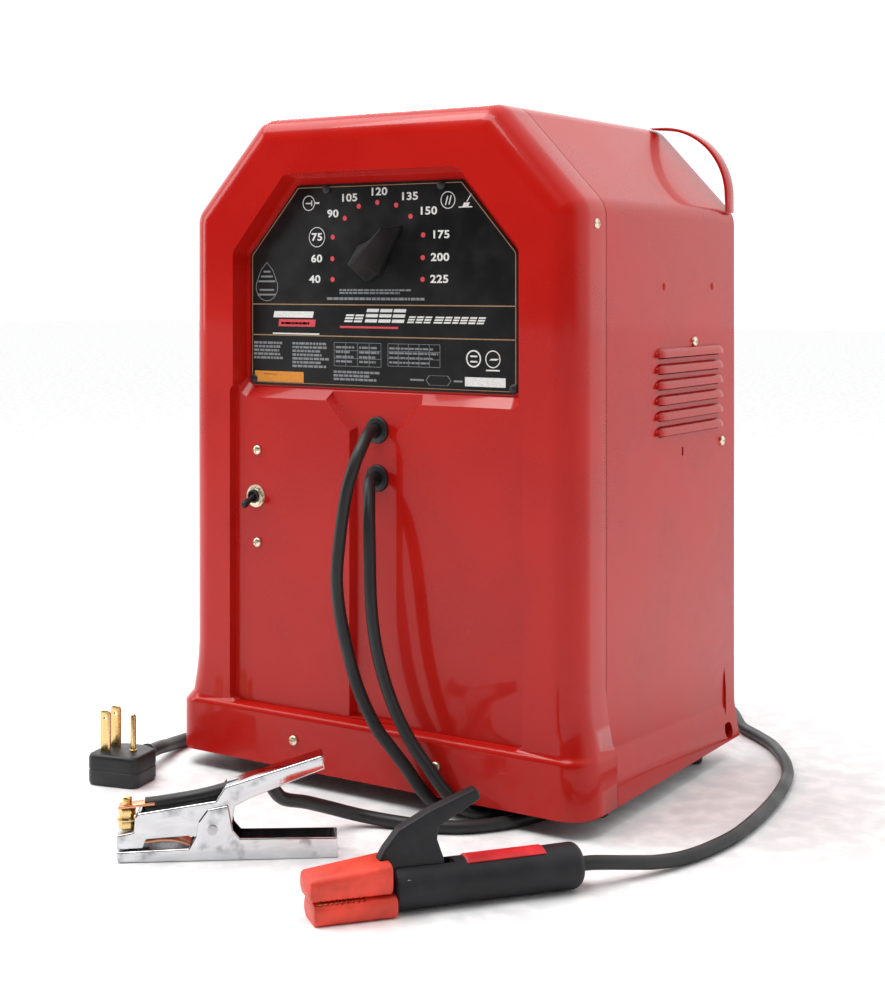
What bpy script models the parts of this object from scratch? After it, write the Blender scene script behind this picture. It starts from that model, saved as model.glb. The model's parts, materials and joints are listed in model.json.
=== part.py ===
"""Stick welder: a transformer arc welder with its electrode holder, work clamp and power cord.

Metres, +Z up. The floor is z = 0, x = 0 is the middle of the case, and the case's front faces -Y.
Depths are given from the front face of the cover, and front(depth) turns one into a y.
"""

import math

import bmesh
import bpy
import numpy as np
from mathutils import Matrix, Vector

# ---------------------------------------------------------------- driving sizes
MM = 0.001
WIDTH = 0.420            # across the two side panels
HEIGHT = 0.610           # floor to roof
ROOF_FLAT = 0.256        # flat width of the roof between the sloping corners
SHOULDER = 0.522         # height where the sloping corners start
COVER_DEPTH = 0.052      # front face to the seam with the wrap
SIDE_DEPTH = 0.320       # front face to the rear edge of the wrap
STRAP_DEPTH = 0.303      # front face to the front edge of the lift straps
STRAP_BEND = 0.070       # outer radius of a strap's corner
STRAP_THICK = 0.003
STRAP_START = 0.126      # where a strap leaves the roof
GROUND = 0.016           # lower edge of the case above the floor
SHEET = 0.0016           # case sheet steel
GAP = 0.0003             # clearance kept between touching pieces
FRONT_ROUND = 0.025      # radius of the cover's front edge
CORNER_ROUND = 0.024     # radius of the outline's four upper corners
FLARE_FRONT = 0.008      # how far the skirt flares out at the seam and in front of it
FLARE_REAR = 0.004       # the same at the rear edge
FLARE_TOP = 0.115        # height where the flare starts
SKIRT_TOP = 0.062        # height of the ledge over the skirt

KNOB_PROUD = 0.013       # how far the selector knob stands in front of the cover
PLATE_RECESS = 0.0165    # depth of the recess that holds the nameplate
PAD_RECESS = 0.0075      # depth of the two raised pads under it
CHANNEL_RECESS = 0.015   # depth of the channel between the pads
RECESS_HALF = 0.152      # half width of the nameplate recess
PAD_HALF = 0.157         # half width over both pads
PAD_TOP = 0.352          # height where the pads end and the recess starts
CHANNEL_HALF = 0.022     # half width of the channel
PLATE_HALF = 0.146       # half width of the nameplate
PLATE_BOTTOM = 0.3616
PLATE_TOP = 0.546
PLATE_FLAT_HALF = 0.090  # half width of the nameplate's upper edge
PLATE_CORNER = 0.482     # height where the nameplate's cut corners start
PLATE_THICK = 0.0012
PLATE_MARGIN = 0.006     # recess outline outside the nameplate's

SELECTOR_Z = 0.4827      # height of the selector's axis
KNOB_ANGLE = 48.0        # degrees clockwise from straight up at the rest setting
SHAFT_RADIUS = 0.004
SHAFT_HOLE = 0.006
CONTACT_CIRCLE = 0.045   # radius of the ring of contacts
CONTACT_STEP = 24.0      # degrees between contacts
CONTACTS = 11

SWITCH_X, SWITCH_Z = -0.133, 0.258
SWITCH_SCREW_X = -0.131
SWITCH_SCREW_OFF = 0.043 # each screw above and below the switch
NECK_RADIUS = 0.006
TOGGLE_TILT = 25.0       # degrees below level at rest
SCREW_HEAD = 0.0045      # radius of a screw's head
SCREW_SHANK = 0.002
SKIRT_SCREW_X, SKIRT_SCREW_Z = 0.077, 0.042
SIDE_SCREW_DEPTH, SIDE_SCREW_Z = 0.227, 0.402

UPPER_LEAD_Z, LOWER_LEAD_Z = 0.325, 0.282
LEAD_DIAMETER = 0.011
POWER_DIAMETER = 0.013
BUSHING_HOLE = 0.009

LOUVRES = 6
LOUVRE_PITCH = 0.014
LOUVRE_START = (0.150, 0.284)   # first and last depth of a louvre
LOUVRE_LOW = 0.318
LOUVRE_SLOT = 0.005

PAN_BOTTOM = 0.020
PAN_WALL = 0.002
PAN_HEIGHT = 0.018
FOOT_RADIUS = 0.011
FOOT_X = 0.192
FOOT_DEPTHS = (0.070, 0.262)

REAR_PANEL_DEPTH = 0.296
GLAND_X, GLAND_Z = -0.165, 0.056
GLAND_LENGTH = 0.035

CORE_MIDDLE = 0.135      # depth of the transformer's middle
CORE_THICK = 0.084
CORE_HALF = 0.125
CORE_LOW, CORE_HIGH = 0.045, 0.255
LIMB = 0.045             # width of each side limb
MIDDLE_LIMB_HALF = 0.035
YOKE = 0.040
COIL_BUILD = 0.040       # thickness of a winding
COIL_CLEAR = 0.0015

FAN_Z = 0.240
FAN_RADIUS = 0.085
MOTOR_START = 0.2238
MOTOR_LENGTH = 0.030
MOTOR_RADIUS = 0.040
BLADE_START = 0.262
BLADE_HUB = 0.014

FRONT = -(SIDE_DEPTH - KNOB_PROUD) / 2
CORD_FRONT = -0.1535     # the cords' own front plane: their points stay as chosen

COLOURS = {
    "red_enamel": ((0.62, 0.025, 0.03), 0.22, 0.0),
    "black_plate": ((0.015, 0.015, 0.016), 0.45, 0.0),
    "black_plastic": ((0.02, 0.02, 0.022), 0.5, 0.0),
    "black_rubber": ((0.03, 0.03, 0.032), 0.6, 0.0),
    "zinc": ((0.75, 0.68, 0.50), 0.35, 1.0),
    "steel": ((0.55, 0.56, 0.58), 0.4, 1.0),
    "core_steel": ((0.22, 0.23, 0.25), 0.55, 0.8),
    "copper": ((0.75, 0.36, 0.20), 0.35, 1.0),
    "aluminium": ((0.80, 0.81, 0.82), 0.35, 1.0),
    "brass": ((0.80, 0.62, 0.30), 0.3, 1.0),
    "chrome": ((0.85, 0.86, 0.88), 0.12, 1.0),
    "phenolic": ((0.16, 0.09, 0.05), 0.6, 0.0),
    "tip_red": ((0.80, 0.10, 0.05), 0.4, 0.0),
}

# ---------------------------------------------------------------- a clean scene
for old in list(bpy.data.objects):
    bpy.data.objects.remove(old, do_unlink=True)
parts = bpy.data.collections.new("stick_welder")
cutters = bpy.data.collections.new("stick_welder_cutters")
bpy.context.scene.collection.children.link(parts)
bpy.context.scene.collection.children.link(cutters)


# ---------------------------------------------------------------- helpers
def front(depth):
    """World y of a place this deep behind the front face."""
    return FRONT + depth


def finish(obj, colour):
    base, roughness, metallic = COLOURS[colour]
    material = bpy.data.materials.new(f"{obj.name}_{colour}")
    material.use_nodes = True
    shader = material.node_tree.nodes["Principled BSDF"]
    shader.inputs["Base Color"].default_value = (*base, 1)
    shader.inputs["Roughness"].default_value = roughness
    shader.inputs["Metallic"].default_value = metallic
    obj.data.materials.clear()
    obj.data.materials.append(material)
    return obj


def add_object(name, data, colour):
    """Puts a mesh or a curve in the parts, or among the cutters where colour is None."""
    obj = bpy.data.objects.new(name, data)
    if colour is None:
        cutters.objects.link(obj)
        obj.hide_render = True
        obj.display_type = "WIRE"
        return obj
    parts.objects.link(obj)
    return finish(obj, colour)


def mesh_from(name, shape):
    mesh = bpy.data.meshes.new(name)
    shape.to_mesh(mesh)
    shape.free()
    return mesh


def empty(name, location, turn=0.0):
    """A guide that holds a group of pieces, turned about Z by this many degrees."""
    guide = bpy.data.objects.new(name, None)
    guide.empty_display_size = 0.02
    guide.location = location
    guide.rotation_euler = (0, 0, math.radians(turn))
    parts.objects.link(guide)
    return guide


def box(name, low, high, colour, parent=None, edge=0.0):
    """A block between two corners, its edges rounded by a Bevel where edge is given."""
    low, high = Vector(low), Vector(high)
    shape = bmesh.new()
    bmesh.ops.create_cube(shape, size=1)
    bmesh.ops.scale(shape, verts=shape.verts, vec=high - low)
    obj = add_object(name, mesh_from(name, shape), colour)
    obj.location = (low + high) / 2
    obj.parent = parent
    if edge:
        bevel = obj.modifiers.new("edge", "BEVEL")
        bevel.width, bevel.segments = edge, 2
    return obj


def turn_to(axis):
    """The rotation that takes +Z to this axis."""
    return Vector(axis).to_track_quat("Z", "Y").to_euler()


def rod(name, start, axis, length, radius, colour, parent=None, sides=20):
    """A round bar from a point along an axis."""
    shape = bmesh.new()
    bmesh.ops.create_cone(shape, cap_ends=True, segments=sides, radius1=radius, radius2=radius, depth=length)
    obj = add_object(name, mesh_from(name, shape), colour)
    obj.location = Vector(start) + Vector(axis).normalized() * (length / 2)
    obj.rotation_euler = turn_to(axis)
    obj.parent = parent
    return obj


def turned(name, profile, base, axis, colour, parent=None, sides=20):
    """A turned piece. The profile is (radius, height) from top to bottom down its outer side."""
    shape = bmesh.new()
    points = [shape.verts.new((radius, 0, height)) for radius, height in profile]
    for start, end in zip(points, points[1:]):
        shape.edges.new((start, end))
    if profile[0][0] > 0:
        shape.edges.new((points[-1], points[0]))
    obj = add_object(name, mesh_from(name, shape), colour)
    screw = obj.modifiers.new("turn", "SCREW")
    screw.steps = screw.render_steps = sides
    screw.use_merge_vertices = True
    screw.merge_threshold = 0.00001
    obj.location = base
    obj.rotation_euler = turn_to(axis)
    obj.parent = parent
    return obj


def rounded(corners, radius, steps=3):
    """An outline with each corner turned into an arc."""
    outline = []
    count = len(corners)
    for index, corner in enumerate(corners):
        before = Vector(corners[index - 1]) - Vector(corner)
        after = Vector(corners[(index + 1) % count]) - Vector(corner)
        half = before.angle(after) / 2
        reach = radius / math.tan(half)
        inward = (before.normalized() + after.normalized()).normalized()
        middle = Vector(corner) + inward * (radius / math.sin(half))
        first = Vector(corner) + before.normalized() * reach - middle
        last = Vector(corner) + after.normalized() * reach - middle
        sweep = first.angle_signed(last)
        for step in range(steps + 1):
            angle = -sweep * step / steps
            outline.append(tuple(middle + Matrix.Rotation(angle, 2) @ first))
    return outline


def slab(name, outline, start, end, colour, parent=None):
    """A flat outline in x and z, extruded from depth y = start to y = end and kept as a mesh."""
    curve = bpy.data.curves.new(name, "CURVE")
    curve.dimensions = "2D"
    curve.fill_mode = "BOTH"
    curve.extrude = (end - start) / 2
    spline = curve.splines.new("POLY")
    spline.points.add(len(outline) - 1)
    for point, (x, z) in zip(spline.points, outline):
        point.co = (x, z, 0, 1)
    spline.use_cyclic_u = True
    drawn = bpy.data.objects.new(name + "_outline", curve)
    cutters.objects.link(drawn)
    graph = bpy.context.evaluated_depsgraph_get()
    mesh = bpy.data.meshes.new_from_object(drawn.evaluated_get(graph))
    bpy.data.objects.remove(drawn)
    bpy.data.curves.remove(curve)
    shape = bmesh.new()
    shape.from_mesh(mesh)
    bmesh.ops.remove_doubles(shape, verts=shape.verts, dist=0.00001)
    bmesh.ops.transform(shape, matrix=Matrix.Rotation(math.pi / 2, 4, "X"), verts=shape.verts)
    bmesh.ops.recalc_face_normals(shape, faces=shape.faces)
    shape.to_mesh(mesh)
    shape.free()
    obj = add_object(name, mesh, colour)
    obj.location = (0, (start + end) / 2, 0)
    obj.parent = parent
    return obj


def is_flat(face):
    """Whether all the face's corners lie in one plane."""
    normal, start = face.normal, face.verts[0].co
    return all(abs((vert.co - start).dot(normal)) < 1e-7 for vert in face.verts)


def loft(name, rings, colour, parent=None):
    """A closed body skinned over rings that have the same number of points."""
    shape = bmesh.new()
    made = [[shape.verts.new(point) for point in ring] for ring in rings]
    count = len(rings[0])
    for near, far in zip(made, made[1:]):
        for index in range(count):
            after = (index + 1) % count
            shape.faces.new((near[index], near[after], far[after], far[index]))
    shape.faces.new(made[0])
    shape.faces.new(made[-1])
    bmesh.ops.recalc_face_normals(shape, faces=shape.faces)
    twisted = [face for face in shape.faces if len(face.verts) == 4 and not is_flat(face)]
    bmesh.ops.triangulate(shape, faces=twisted)
    obj = add_object(name, mesh_from(name, shape), colour)
    obj.parent = parent
    return obj


def boolean(obj, cutter, operation="DIFFERENCE"):
    step = obj.modifiers.new(f"{operation.lower()}_{cutter.name}", "BOOLEAN")
    step.object = cutter
    step.operation = operation
    step.solver = "EXACT"
    return obj


def hole(obj, name, start, axis, length, radius, sides=20):
    """Bores a round hole, from a point along an axis."""
    return boolean(obj, rod(name, start, axis, length, radius, None, obj.parent, sides))


def smooth_route(points, spacing, lowest):
    """Evenly spaced points on a smooth curve through the route's own points, none of them under a height."""
    knots = np.array([points[0], *points, points[-1]], float)
    knots[0] = 2 * knots[1] - knots[2]
    knots[-1] = 2 * knots[-2] - knots[-3]
    fine = []
    for before, start, end, after in zip(knots, knots[1:], knots[2:], knots[3:]):
        for share in np.linspace(0, 1, 24, endpoint=False):
            pull = (-share + 2 * share**2 - share**3, 2 - 5 * share**2 + 3 * share**3,
                    share + 4 * share**2 - 3 * share**3, share**3 - share**2)
            fine.append(sum(p * k for p, k in zip(pull, (before, start, end, after))) / 2)
    fine = np.array([*fine, points[-1]])
    along = np.concatenate([[0], np.cumsum(np.linalg.norm(np.diff(fine, axis=0), axis=1))])
    places = np.linspace(0, along[-1], max(2, round(along[-1] / spacing) + 1))
    even = np.stack([np.interp(places, along, fine[:, axis]) for axis in range(3)], axis=1)
    even[:, 2] = np.maximum(even[:, 2], lowest)
    return even


def tube(name, points, diameter, colour, parent=None, resolution=2, cyclic=False):
    """A round wire or cord through these points."""
    curve = bpy.data.curves.new(name, "CURVE")
    curve.dimensions = "3D"
    curve.bevel_depth = diameter / 2
    curve.bevel_resolution = resolution
    curve.use_fill_caps = True
    spline = curve.splines.new("POLY")
    spline.points.add(len(points) - 1)
    for point, place in zip(spline.points, points):
        point.co = (*place, 1)
    spline.use_cyclic_u = cyclic
    obj = add_object(name, curve, colour)
    obj.parent = parent
    return obj


def helix(middle, axis, radius, length, turns, per_turn=8):
    """Points of a coil spring about an axis through its middle."""
    turn = Vector(axis).to_track_quat("Z", "Y").to_matrix()
    points = []
    for step in range(turns * per_turn + 1):
        angle = 2 * math.pi * step / per_turn
        rise = length * (step / (turns * per_turn) - 0.5)
        points.append(Vector(middle) + turn @ Vector((radius * math.cos(angle), radius * math.sin(angle),
                                                      rise)))
    return points


# ---------------------------------------------------------------- outline of the case
def flare_at(depth):
    share = max(0.0, (depth - COVER_DEPTH) / (SIDE_DEPTH - COVER_DEPTH))
    return FLARE_FRONT + (FLARE_REAR - FLARE_FRONT) * share


def case_outline(inset, flare, bottom):
    """(x, z) round the case, seen from the front, this far inside its outer skin."""
    half, top = WIDTH / 2 - inset, HEIGHT - inset
    run, rise = (WIDTH - ROOF_FLAT) / 2, HEIGHT - SHOULDER
    slope = math.hypot(run, rise)
    level = (rise * WIDTH / 2 + run * SHOULDER) / slope - inset
    low_corner = (half, (level - rise / slope * half) * slope / run)
    high_corner = ((level - run / slope * top) * slope / rise, top)
    ends = [(half, FLARE_TOP), low_corner, high_corner, (0, top)]
    side = [(half + flare, bottom), (half + flare, SKIRT_TOP)]
    for step in range(1, 4):
        share = step / 4
        ease = share * share * (3 - 2 * share)
        side.append((half + flare * (1 - ease), SKIRT_TOP + (FLARE_TOP - SKIRT_TOP) * share))
    side.append(ends[0])
    radius = max(CORNER_ROUND - inset, 0.004)
    for before, corner, after in zip(ends, ends[1:], ends[2:]):
        arc = rounded([before, corner, after], radius)
        side += arc[4:8]
    return side + [(-x, z) for x, z in reversed(side)]


def case_ring(depth, inset, bottom=GROUND):
    return [(x, front(depth), z) for x, z in case_outline(inset, flare_at(depth), bottom)]


def case_block(name, colour, start, end, wall, bottom):
    """The case's outer form, or with a wall the form of its inside, its front edge rounded at depth 0."""
    rings = []
    if start < FRONT_ROUND:
        for step in range(5):
            angle = math.pi / 2 * step / 4
            inset = FRONT_ROUND - (FRONT_ROUND - wall) * math.sin(angle)
            depth = FRONT_ROUND - (FRONT_ROUND - wall) * math.cos(angle)
            rings.append(case_ring(depth, inset, bottom))
    else:
        rings.append(case_ring(start, wall, bottom))
    rings.append(case_ring(end, wall, bottom))
    return loft(name, rings, colour)


# ---------------------------------------------------------------- case
def plate_outline(margin):
    """The nameplate's outline, grown by a margin."""
    cut = margin * 0.4
    return [
        (-PLATE_HALF - margin, PLATE_BOTTOM - margin), (PLATE_HALF + margin, PLATE_BOTTOM - margin),
        (PLATE_HALF + margin, PLATE_CORNER + cut), (PLATE_FLAT_HALF + cut, PLATE_TOP + margin),
        (-PLATE_FLAT_HALF - cut, PLATE_TOP + margin), (-PLATE_HALF - margin, PLATE_CORNER + cut),
    ]


def recess_blocks(name, wall):
    """The three pressed-in areas of the cover, or with a wall the metal behind them."""
    plate = plate_outline(PLATE_MARGIN + wall)
    plate[0], plate[1] = (-RECESS_HALF - wall, PAD_TOP - wall), (RECESS_HALF + wall, PAD_TOP - wall)
    pads = [(-PAD_HALF - wall, SKIRT_TOP + 0.003 - wall), (PAD_HALF + wall, SKIRT_TOP + 0.003 - wall),
            (PAD_HALF + wall, PAD_TOP + 0.006), (-PAD_HALF - wall, PAD_TOP + 0.006)]
    half = CHANNEL_HALF + wall
    channel = [(-half, SKIRT_TOP + 0.006 - wall), (half, SKIRT_TOP + 0.006 - wall), (half, PAD_TOP - 0.027),
               (half + 0.025, PAD_TOP), (half + 0.025, PAD_TOP + 0.012), (-half - 0.025, PAD_TOP + 0.012),
               (-half - 0.025, PAD_TOP), (-half, PAD_TOP - 0.027)]
    start = front(-0.010)
    return [
        slab(f"{name}_plate", rounded(plate, 0.010), start, front(PLATE_RECESS + wall), None),
        slab(f"{name}_pads", rounded(pads, 0.006), start, front(PAD_RECESS + wall), None),
        slab(f"{name}_channel", channel, start, front(CHANNEL_RECESS + wall), None),
    ]


def front_cover():
    cover = case_block("front_cover", "red_enamel", 0, COVER_DEPTH, 0, GROUND)
    inside = case_block("cover_inside", None, 0, COVER_DEPTH + 0.01, SHEET, GROUND - 0.01)
    for block in recess_blocks("behind", SHEET):
        boolean(inside, block)
    for block in recess_blocks("pressed", 0):
        boolean(cover, block)
    boolean(cover, inside)
    deep = front(-0.005)
    hole(cover, "hole_selector", (0, deep, SELECTOR_Z), (0, 1, 0), 0.03, SHAFT_HOLE)
    hole(cover, "hole_electrode_lead", (0, deep, UPPER_LEAD_Z), (0, 1, 0), 0.03, BUSHING_HOLE)
    hole(cover, "hole_work_lead", (0, deep, LOWER_LEAD_Z), (0, 1, 0), 0.03, BUSHING_HOLE)
    hole(cover, "hole_switch", (SWITCH_X, deep, SWITCH_Z), (0, 1, 0), 0.02, NECK_RADIUS + GAP)
    for name, x, z in (("upper", SWITCH_SCREW_X, SWITCH_Z + SWITCH_SCREW_OFF),
                       ("lower", SWITCH_SCREW_X, SWITCH_Z - SWITCH_SCREW_OFF),
                       ("skirt_left", -SKIRT_SCREW_X, SKIRT_SCREW_Z),
                       ("skirt_right", SKIRT_SCREW_X, SKIRT_SCREW_Z)):
        hole(cover, f"hole_screw_{name}", (x, deep, z), (0, 1, 0), 0.02, SCREW_SHANK + GAP, 12)
    return cover


def wrap_cover():
    start = COVER_DEPTH + GAP
    wrap = case_block("wrap_cover", "red_enamel", start, SIDE_DEPTH, 0, GROUND)
    inside = case_block("wrap_inside", None, start - 0.01, SIDE_DEPTH + 0.01, SHEET, GROUND - 0.01)
    boolean(wrap, inside)
    half = WIDTH / 2
    for name, side in (("left", -1), ("right", 1)):
        for index in range(LOUVRES):
            low = LOUVRE_LOW + index * LOUVRE_PITCH
            reach = sorted((side * (half - 0.01), side * (half + 0.01)))
            slot = box(f"louvre_{name}_{index}", (reach[0], front(LOUVRE_START[0]), low),
                       (reach[1], front(LOUVRE_START[1]), low + LOUVRE_SLOT), None)
            boolean(wrap, slot)
        hole(wrap, f"hole_side_{name}", (side * (half - 0.01), front(SIDE_SCREW_DEPTH), SIDE_SCREW_Z),
             (side, 0, 0), 0.02, SCREW_SHANK + GAP, 12)
    return wrap


def rear_panel():
    flare = flare_at(REAR_PANEL_DEPTH)
    outline = case_outline(SHEET + 0.0008, flare, PAN_BOTTOM + PAN_HEIGHT + 0.001)
    panel = slab("rear_panel", outline, front(REAR_PANEL_DEPTH), front(REAR_PANEL_DEPTH + SHEET),
                 "red_enamel")
    for row in range(7):
        low = FAN_Z - 0.075 + row * 0.024
        for name, side in (("left", -1), ("right", 1)):
            reach = sorted((side * 0.012, side * 0.092))
            slot = box(f"vent_{name}_{row}", (reach[0], front(REAR_PANEL_DEPTH - 0.01), low),
                       (reach[1], front(REAR_PANEL_DEPTH + 0.01), low + 0.010), None)
            boolean(panel, slot)
    hole(panel, "hole_gland", (GLAND_X, front(REAR_PANEL_DEPTH - 0.01), GLAND_Z), (0, 1, 0), 0.02, 0.0115)
    return panel


def base_pan():
    half = WIDTH / 2 - SHEET - 0.001
    low, high = PAN_BOTTOM, PAN_BOTTOM + PAN_HEIGHT
    first, last = FRONT_ROUND + 0.001, REAR_PANEL_DEPTH - 0.002
    pan = box("base_pan", (-half, front(first), low), (half, front(last), high), "steel")
    room = box("pan_room", (-half + PAN_WALL, front(first + PAN_WALL), low + PAN_WALL),
               (half - PAN_WALL, front(last - PAN_WALL), high + 0.01), None)
    return boolean(pan, room)


def lift_handles():
    """The two straps that square off the sloping corners at the rear."""
    half = WIDTH / 2
    bend_x, bend_z = half - STRAP_BEND, HEIGHT - STRAP_BEND
    steps = 10
    for name, side in (("lift_handle_left", -1), ("lift_handle_right", 1)):
        outer, inner = [(side * STRAP_START, HEIGHT)], [(side * STRAP_START, HEIGHT - STRAP_THICK)]
        for line, radius in ((outer, STRAP_BEND), (inner, STRAP_BEND - STRAP_THICK)):
            for step in range(steps + 1):
                angle = math.pi / 2 * step / steps
                line.append((side * (bend_x + radius * math.sin(angle)), bend_z + radius * math.cos(angle)))
        outer.append((side * half, SHOULDER + 0.002))
        inner.append((side * (half - STRAP_THICK), SHOULDER + 0.002))
        strap = slab(name, outer + inner[::-1], front(STRAP_DEPTH), front(SIDE_DEPTH), "red_enamel")
        room = case_block(f"{name}_room", None, STRAP_DEPTH - 0.01, SIDE_DEPTH + 0.01, -GAP, GROUND)
        boolean(strap, room)


def feet():
    for end, depth in zip(("front", "rear"), FOOT_DEPTHS):
        for name, side in (("left", -1), ("right", 1)):
            profile = [(0, PAN_BOTTOM - GAP), (FOOT_RADIUS, PAN_BOTTOM - GAP), (FOOT_RADIUS * 0.86, 0),
                       (0, 0)]
            place = (side * FOOT_X, front(depth), 0)
            turned(f"foot_{end}_{name}", profile, place, (0, 0, 1), "black_rubber", sides=16)


# ---------------------------------------------------------------- fittings on the case
def nameplate():
    face = PLATE_RECESS - GAP - PLATE_THICK
    outline = rounded(plate_outline(0), 0.006)
    plate = slab("nameplate", outline, front(face), front(face + PLATE_THICK), "black_plate")
    return hole(plate, "hole_nameplate", (0, front(0), SELECTOR_Z), (0, 1, 0), 0.03, SHAFT_HOLE)


def screw(name, place, outward, colour="zinc"):
    """A pan-head screw, its head a gap off the surface at this place."""
    profile = [(0, 0.0032), (SCREW_HEAD * 0.6, 0.0030), (SCREW_HEAD, 0.0015), (SCREW_HEAD, GAP),
               (SCREW_SHANK, GAP), (SCREW_SHANK, -0.008), (0, -0.008)]
    return turned(name, profile, place, outward, colour, sides=14)


def screws():
    for name, off in (("switch_screw_upper", SWITCH_SCREW_OFF), ("switch_screw_lower", -SWITCH_SCREW_OFF)):
        screw(name, (SWITCH_SCREW_X, front(PAD_RECESS), SWITCH_Z + off), (0, -1, 0))
    for name, side in (("left", -1), ("right", 1)):
        screw(f"skirt_screw_{name}", (side * SKIRT_SCREW_X, front(0), SKIRT_SCREW_Z), (0, -1, 0))
        screw(f"side_screw_{name}", (side * WIDTH / 2, front(SIDE_SCREW_DEPTH), SIDE_SCREW_Z), (side, 0, 0))


def lead_bushings():
    """Rubber bushings in the channel, each with a flange on both sides of the sheet."""
    bore, neck, flange = LEAD_DIAMETER / 2 + GAP, BUSHING_HOLE - GAP, BUSHING_HOLE + 0.003
    lip = 0.0022
    outside, inside = GAP + lip, -SHEET - GAP
    profile = [(bore, outside), (flange - 0.001, outside), (flange, outside - 0.001), (flange, GAP),
               (neck, GAP),
               (neck, inside), (flange, inside), (flange, inside - lip), (bore, inside - lip)]
    for name, height in (("electrode_lead_bushing", UPPER_LEAD_Z), ("work_lead_bushing", LOWER_LEAD_Z)):
        turned(name, profile, (0, front(CHANNEL_RECESS), height), (0, -1, 0), "black_rubber")


def power_cord_gland():
    bore, thread = POWER_DIAMETER / 2 + GAP, 0.0112
    inside, end = -SHEET - GAP, -SHEET - 0.006
    profile = [(bore, GLAND_LENGTH), (bore + 0.002, GLAND_LENGTH), (0.0115, 0.006), (0.015, 0.006),
               (0.015, GAP),
               (thread, GAP), (thread, inside), (0.015, inside), (0.015, end), (bore, end)]
    place = (GLAND_X, front(REAR_PANEL_DEPTH + SHEET), GLAND_Z)
    turned("power_cord_gland", profile, place, (0, 1, 0), "black_plastic")


# ---------------------------------------------------------------- output selector
def selector():
    axis = empty("selector_axis", (0, front(PLATE_RECESS), SELECTOR_Z))
    axis.rotation_euler = (0, math.radians(KNOB_ANGLE), 0)
    back = -(GAP + PLATE_THICK + 0.0006)
    face = -(PLATE_RECESS + KNOB_PROUD)

    def ring(length_up, length_down, half, y):
        """A pointed oval: the tip up, the tail round."""
        points = []
        for step in range(16):
            angle = 2 * math.pi * step / 16
            up = math.cos(angle)
            reach = length_up if up > 0 else length_down
            width = half * (1 - 0.55 * max(up, 0) ** 1.5)
            points.append((width * math.sin(angle), y, reach * up))
        return points

    knob = loft("selector_knob", [ring(0.036, 0.027, 0.0175, back), ring(0.035, 0.026, 0.0165, back - 0.012),
                                  ring(0.031, 0.022, 0.004, face)], "black_plastic", axis)
    hole(knob, "knob_bore", (0, back + 0.002, 0), (0, -1, 0), 0.021, SHAFT_RADIUS + GAP)
    rod("selector_shaft", (0, back - 0.0185, 0), (0, 1, 0), 0.054, SHAFT_RADIUS, "steel", axis)
    bore = SHAFT_RADIUS + GAP
    wiper = turned("selector_wiper", [(bore, 0.004), (0.009, 0.004), (0.009, 0), (bore, 0)],
                   (0, 0.016, 0), (0, 1, 0), "copper", axis)
    arm = box("wiper_arm", (-0.005, 0.0165, 0.0065), (0.005, 0.0195, CONTACT_CIRCLE + 0.003), None, axis)
    boolean(wiper, arm, "UNION")

    plate_low, plate_high = PLATE_RECESS + 0.024, PLATE_RECESS + 0.030
    body = slab("selector_switch_body", rounded([(-0.062, SELECTOR_Z - 0.062), (0.062, SELECTOR_Z - 0.062),
                                                 (0.062, SELECTOR_Z + 0.062), (-0.062, SELECTOR_Z + 0.062)],
                                                 0.008),
                front(plate_low), front(plate_high), "phenolic")
    for index in range(CONTACTS):
        angle = math.radians((index - (CONTACTS - 1) / 2) * CONTACT_STEP)
        across, up = CONTACT_CIRCLE * math.sin(angle), CONTACT_CIRCLE * math.cos(angle)
        place = (across, front(plate_low - 0.0025), SELECTOR_Z + up)
        boolean(body, rod(f"contact_{index}", place, (0, 1, 0), 0.018, 0.004, None, sides=10), "UNION")
    for x in (-0.055, 0.055):
        for z in (-0.055, 0.055):
            start = (x, front(PLATE_RECESS + SHEET + GAP), SELECTOR_Z + z)
            length = plate_low - PLATE_RECESS - SHEET + 0.001
            post = rod(f"post_{x}_{z}", start, (0, 1, 0), length, 0.004, None, sides=10)
            boolean(body, post, "UNION")
    hole(body, "hole_switch_body", (0, front(plate_low - 0.01), SELECTOR_Z), (0, 1, 0), 0.03,
         SHAFT_RADIUS + 0.001)


# ---------------------------------------------------------------- line switch
def line_switch():
    back = PAD_RECESS + SHEET
    neck_face = PAD_RECESS - 0.0055
    pivot = PAD_RECESS - 0.0035
    neck_end = -(back + 0.001 - neck_face)
    neck_bore = 0.0045
    profile = [(neck_bore, 0), (NECK_RADIUS, 0), (NECK_RADIUS, neck_end), (neck_bore, neck_end)]
    neck = turned("line_switch_body", profile, (SWITCH_X, front(neck_face), SWITCH_Z), (0, -1, 0),
                  "black_plastic")
    body = box("switch_block", (SWITCH_X - 0.013, front(back + GAP), SWITCH_Z - 0.022),
               (SWITCH_X + 0.013, front(back + 0.030), SWITCH_Z + 0.022), None)
    boolean(neck, body, "UNION")
    axis = empty("toggle_axis", (SWITCH_X, front(pivot), SWITCH_Z))
    tilt = math.radians(TOGGLE_TILT)
    turned("toggle_lever", [(0, 0.018), (0.0022, 0.0175), (0.0031, 0.0158), (0.0031, 0.0140), (0.0020, 0.004),
                            (0.0028, 0.0015), (0.0028, -0.001), (0.0012, -0.0026), (0, -0.0028)],
           (0, 0, 0), (0, -math.cos(tilt), -math.sin(tilt)), "black_plastic", axis, 14)
    bore = NECK_RADIUS + GAP
    turned("toggle_nut", [(bore, 0.003), (0.0085, 0.003), (0.009, 0.0022), (0.009, GAP), (bore, GAP)],
           (SWITCH_X, front(PAD_RECESS), SWITCH_Z), (0, -1, 0), "zinc", sides=12)


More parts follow.
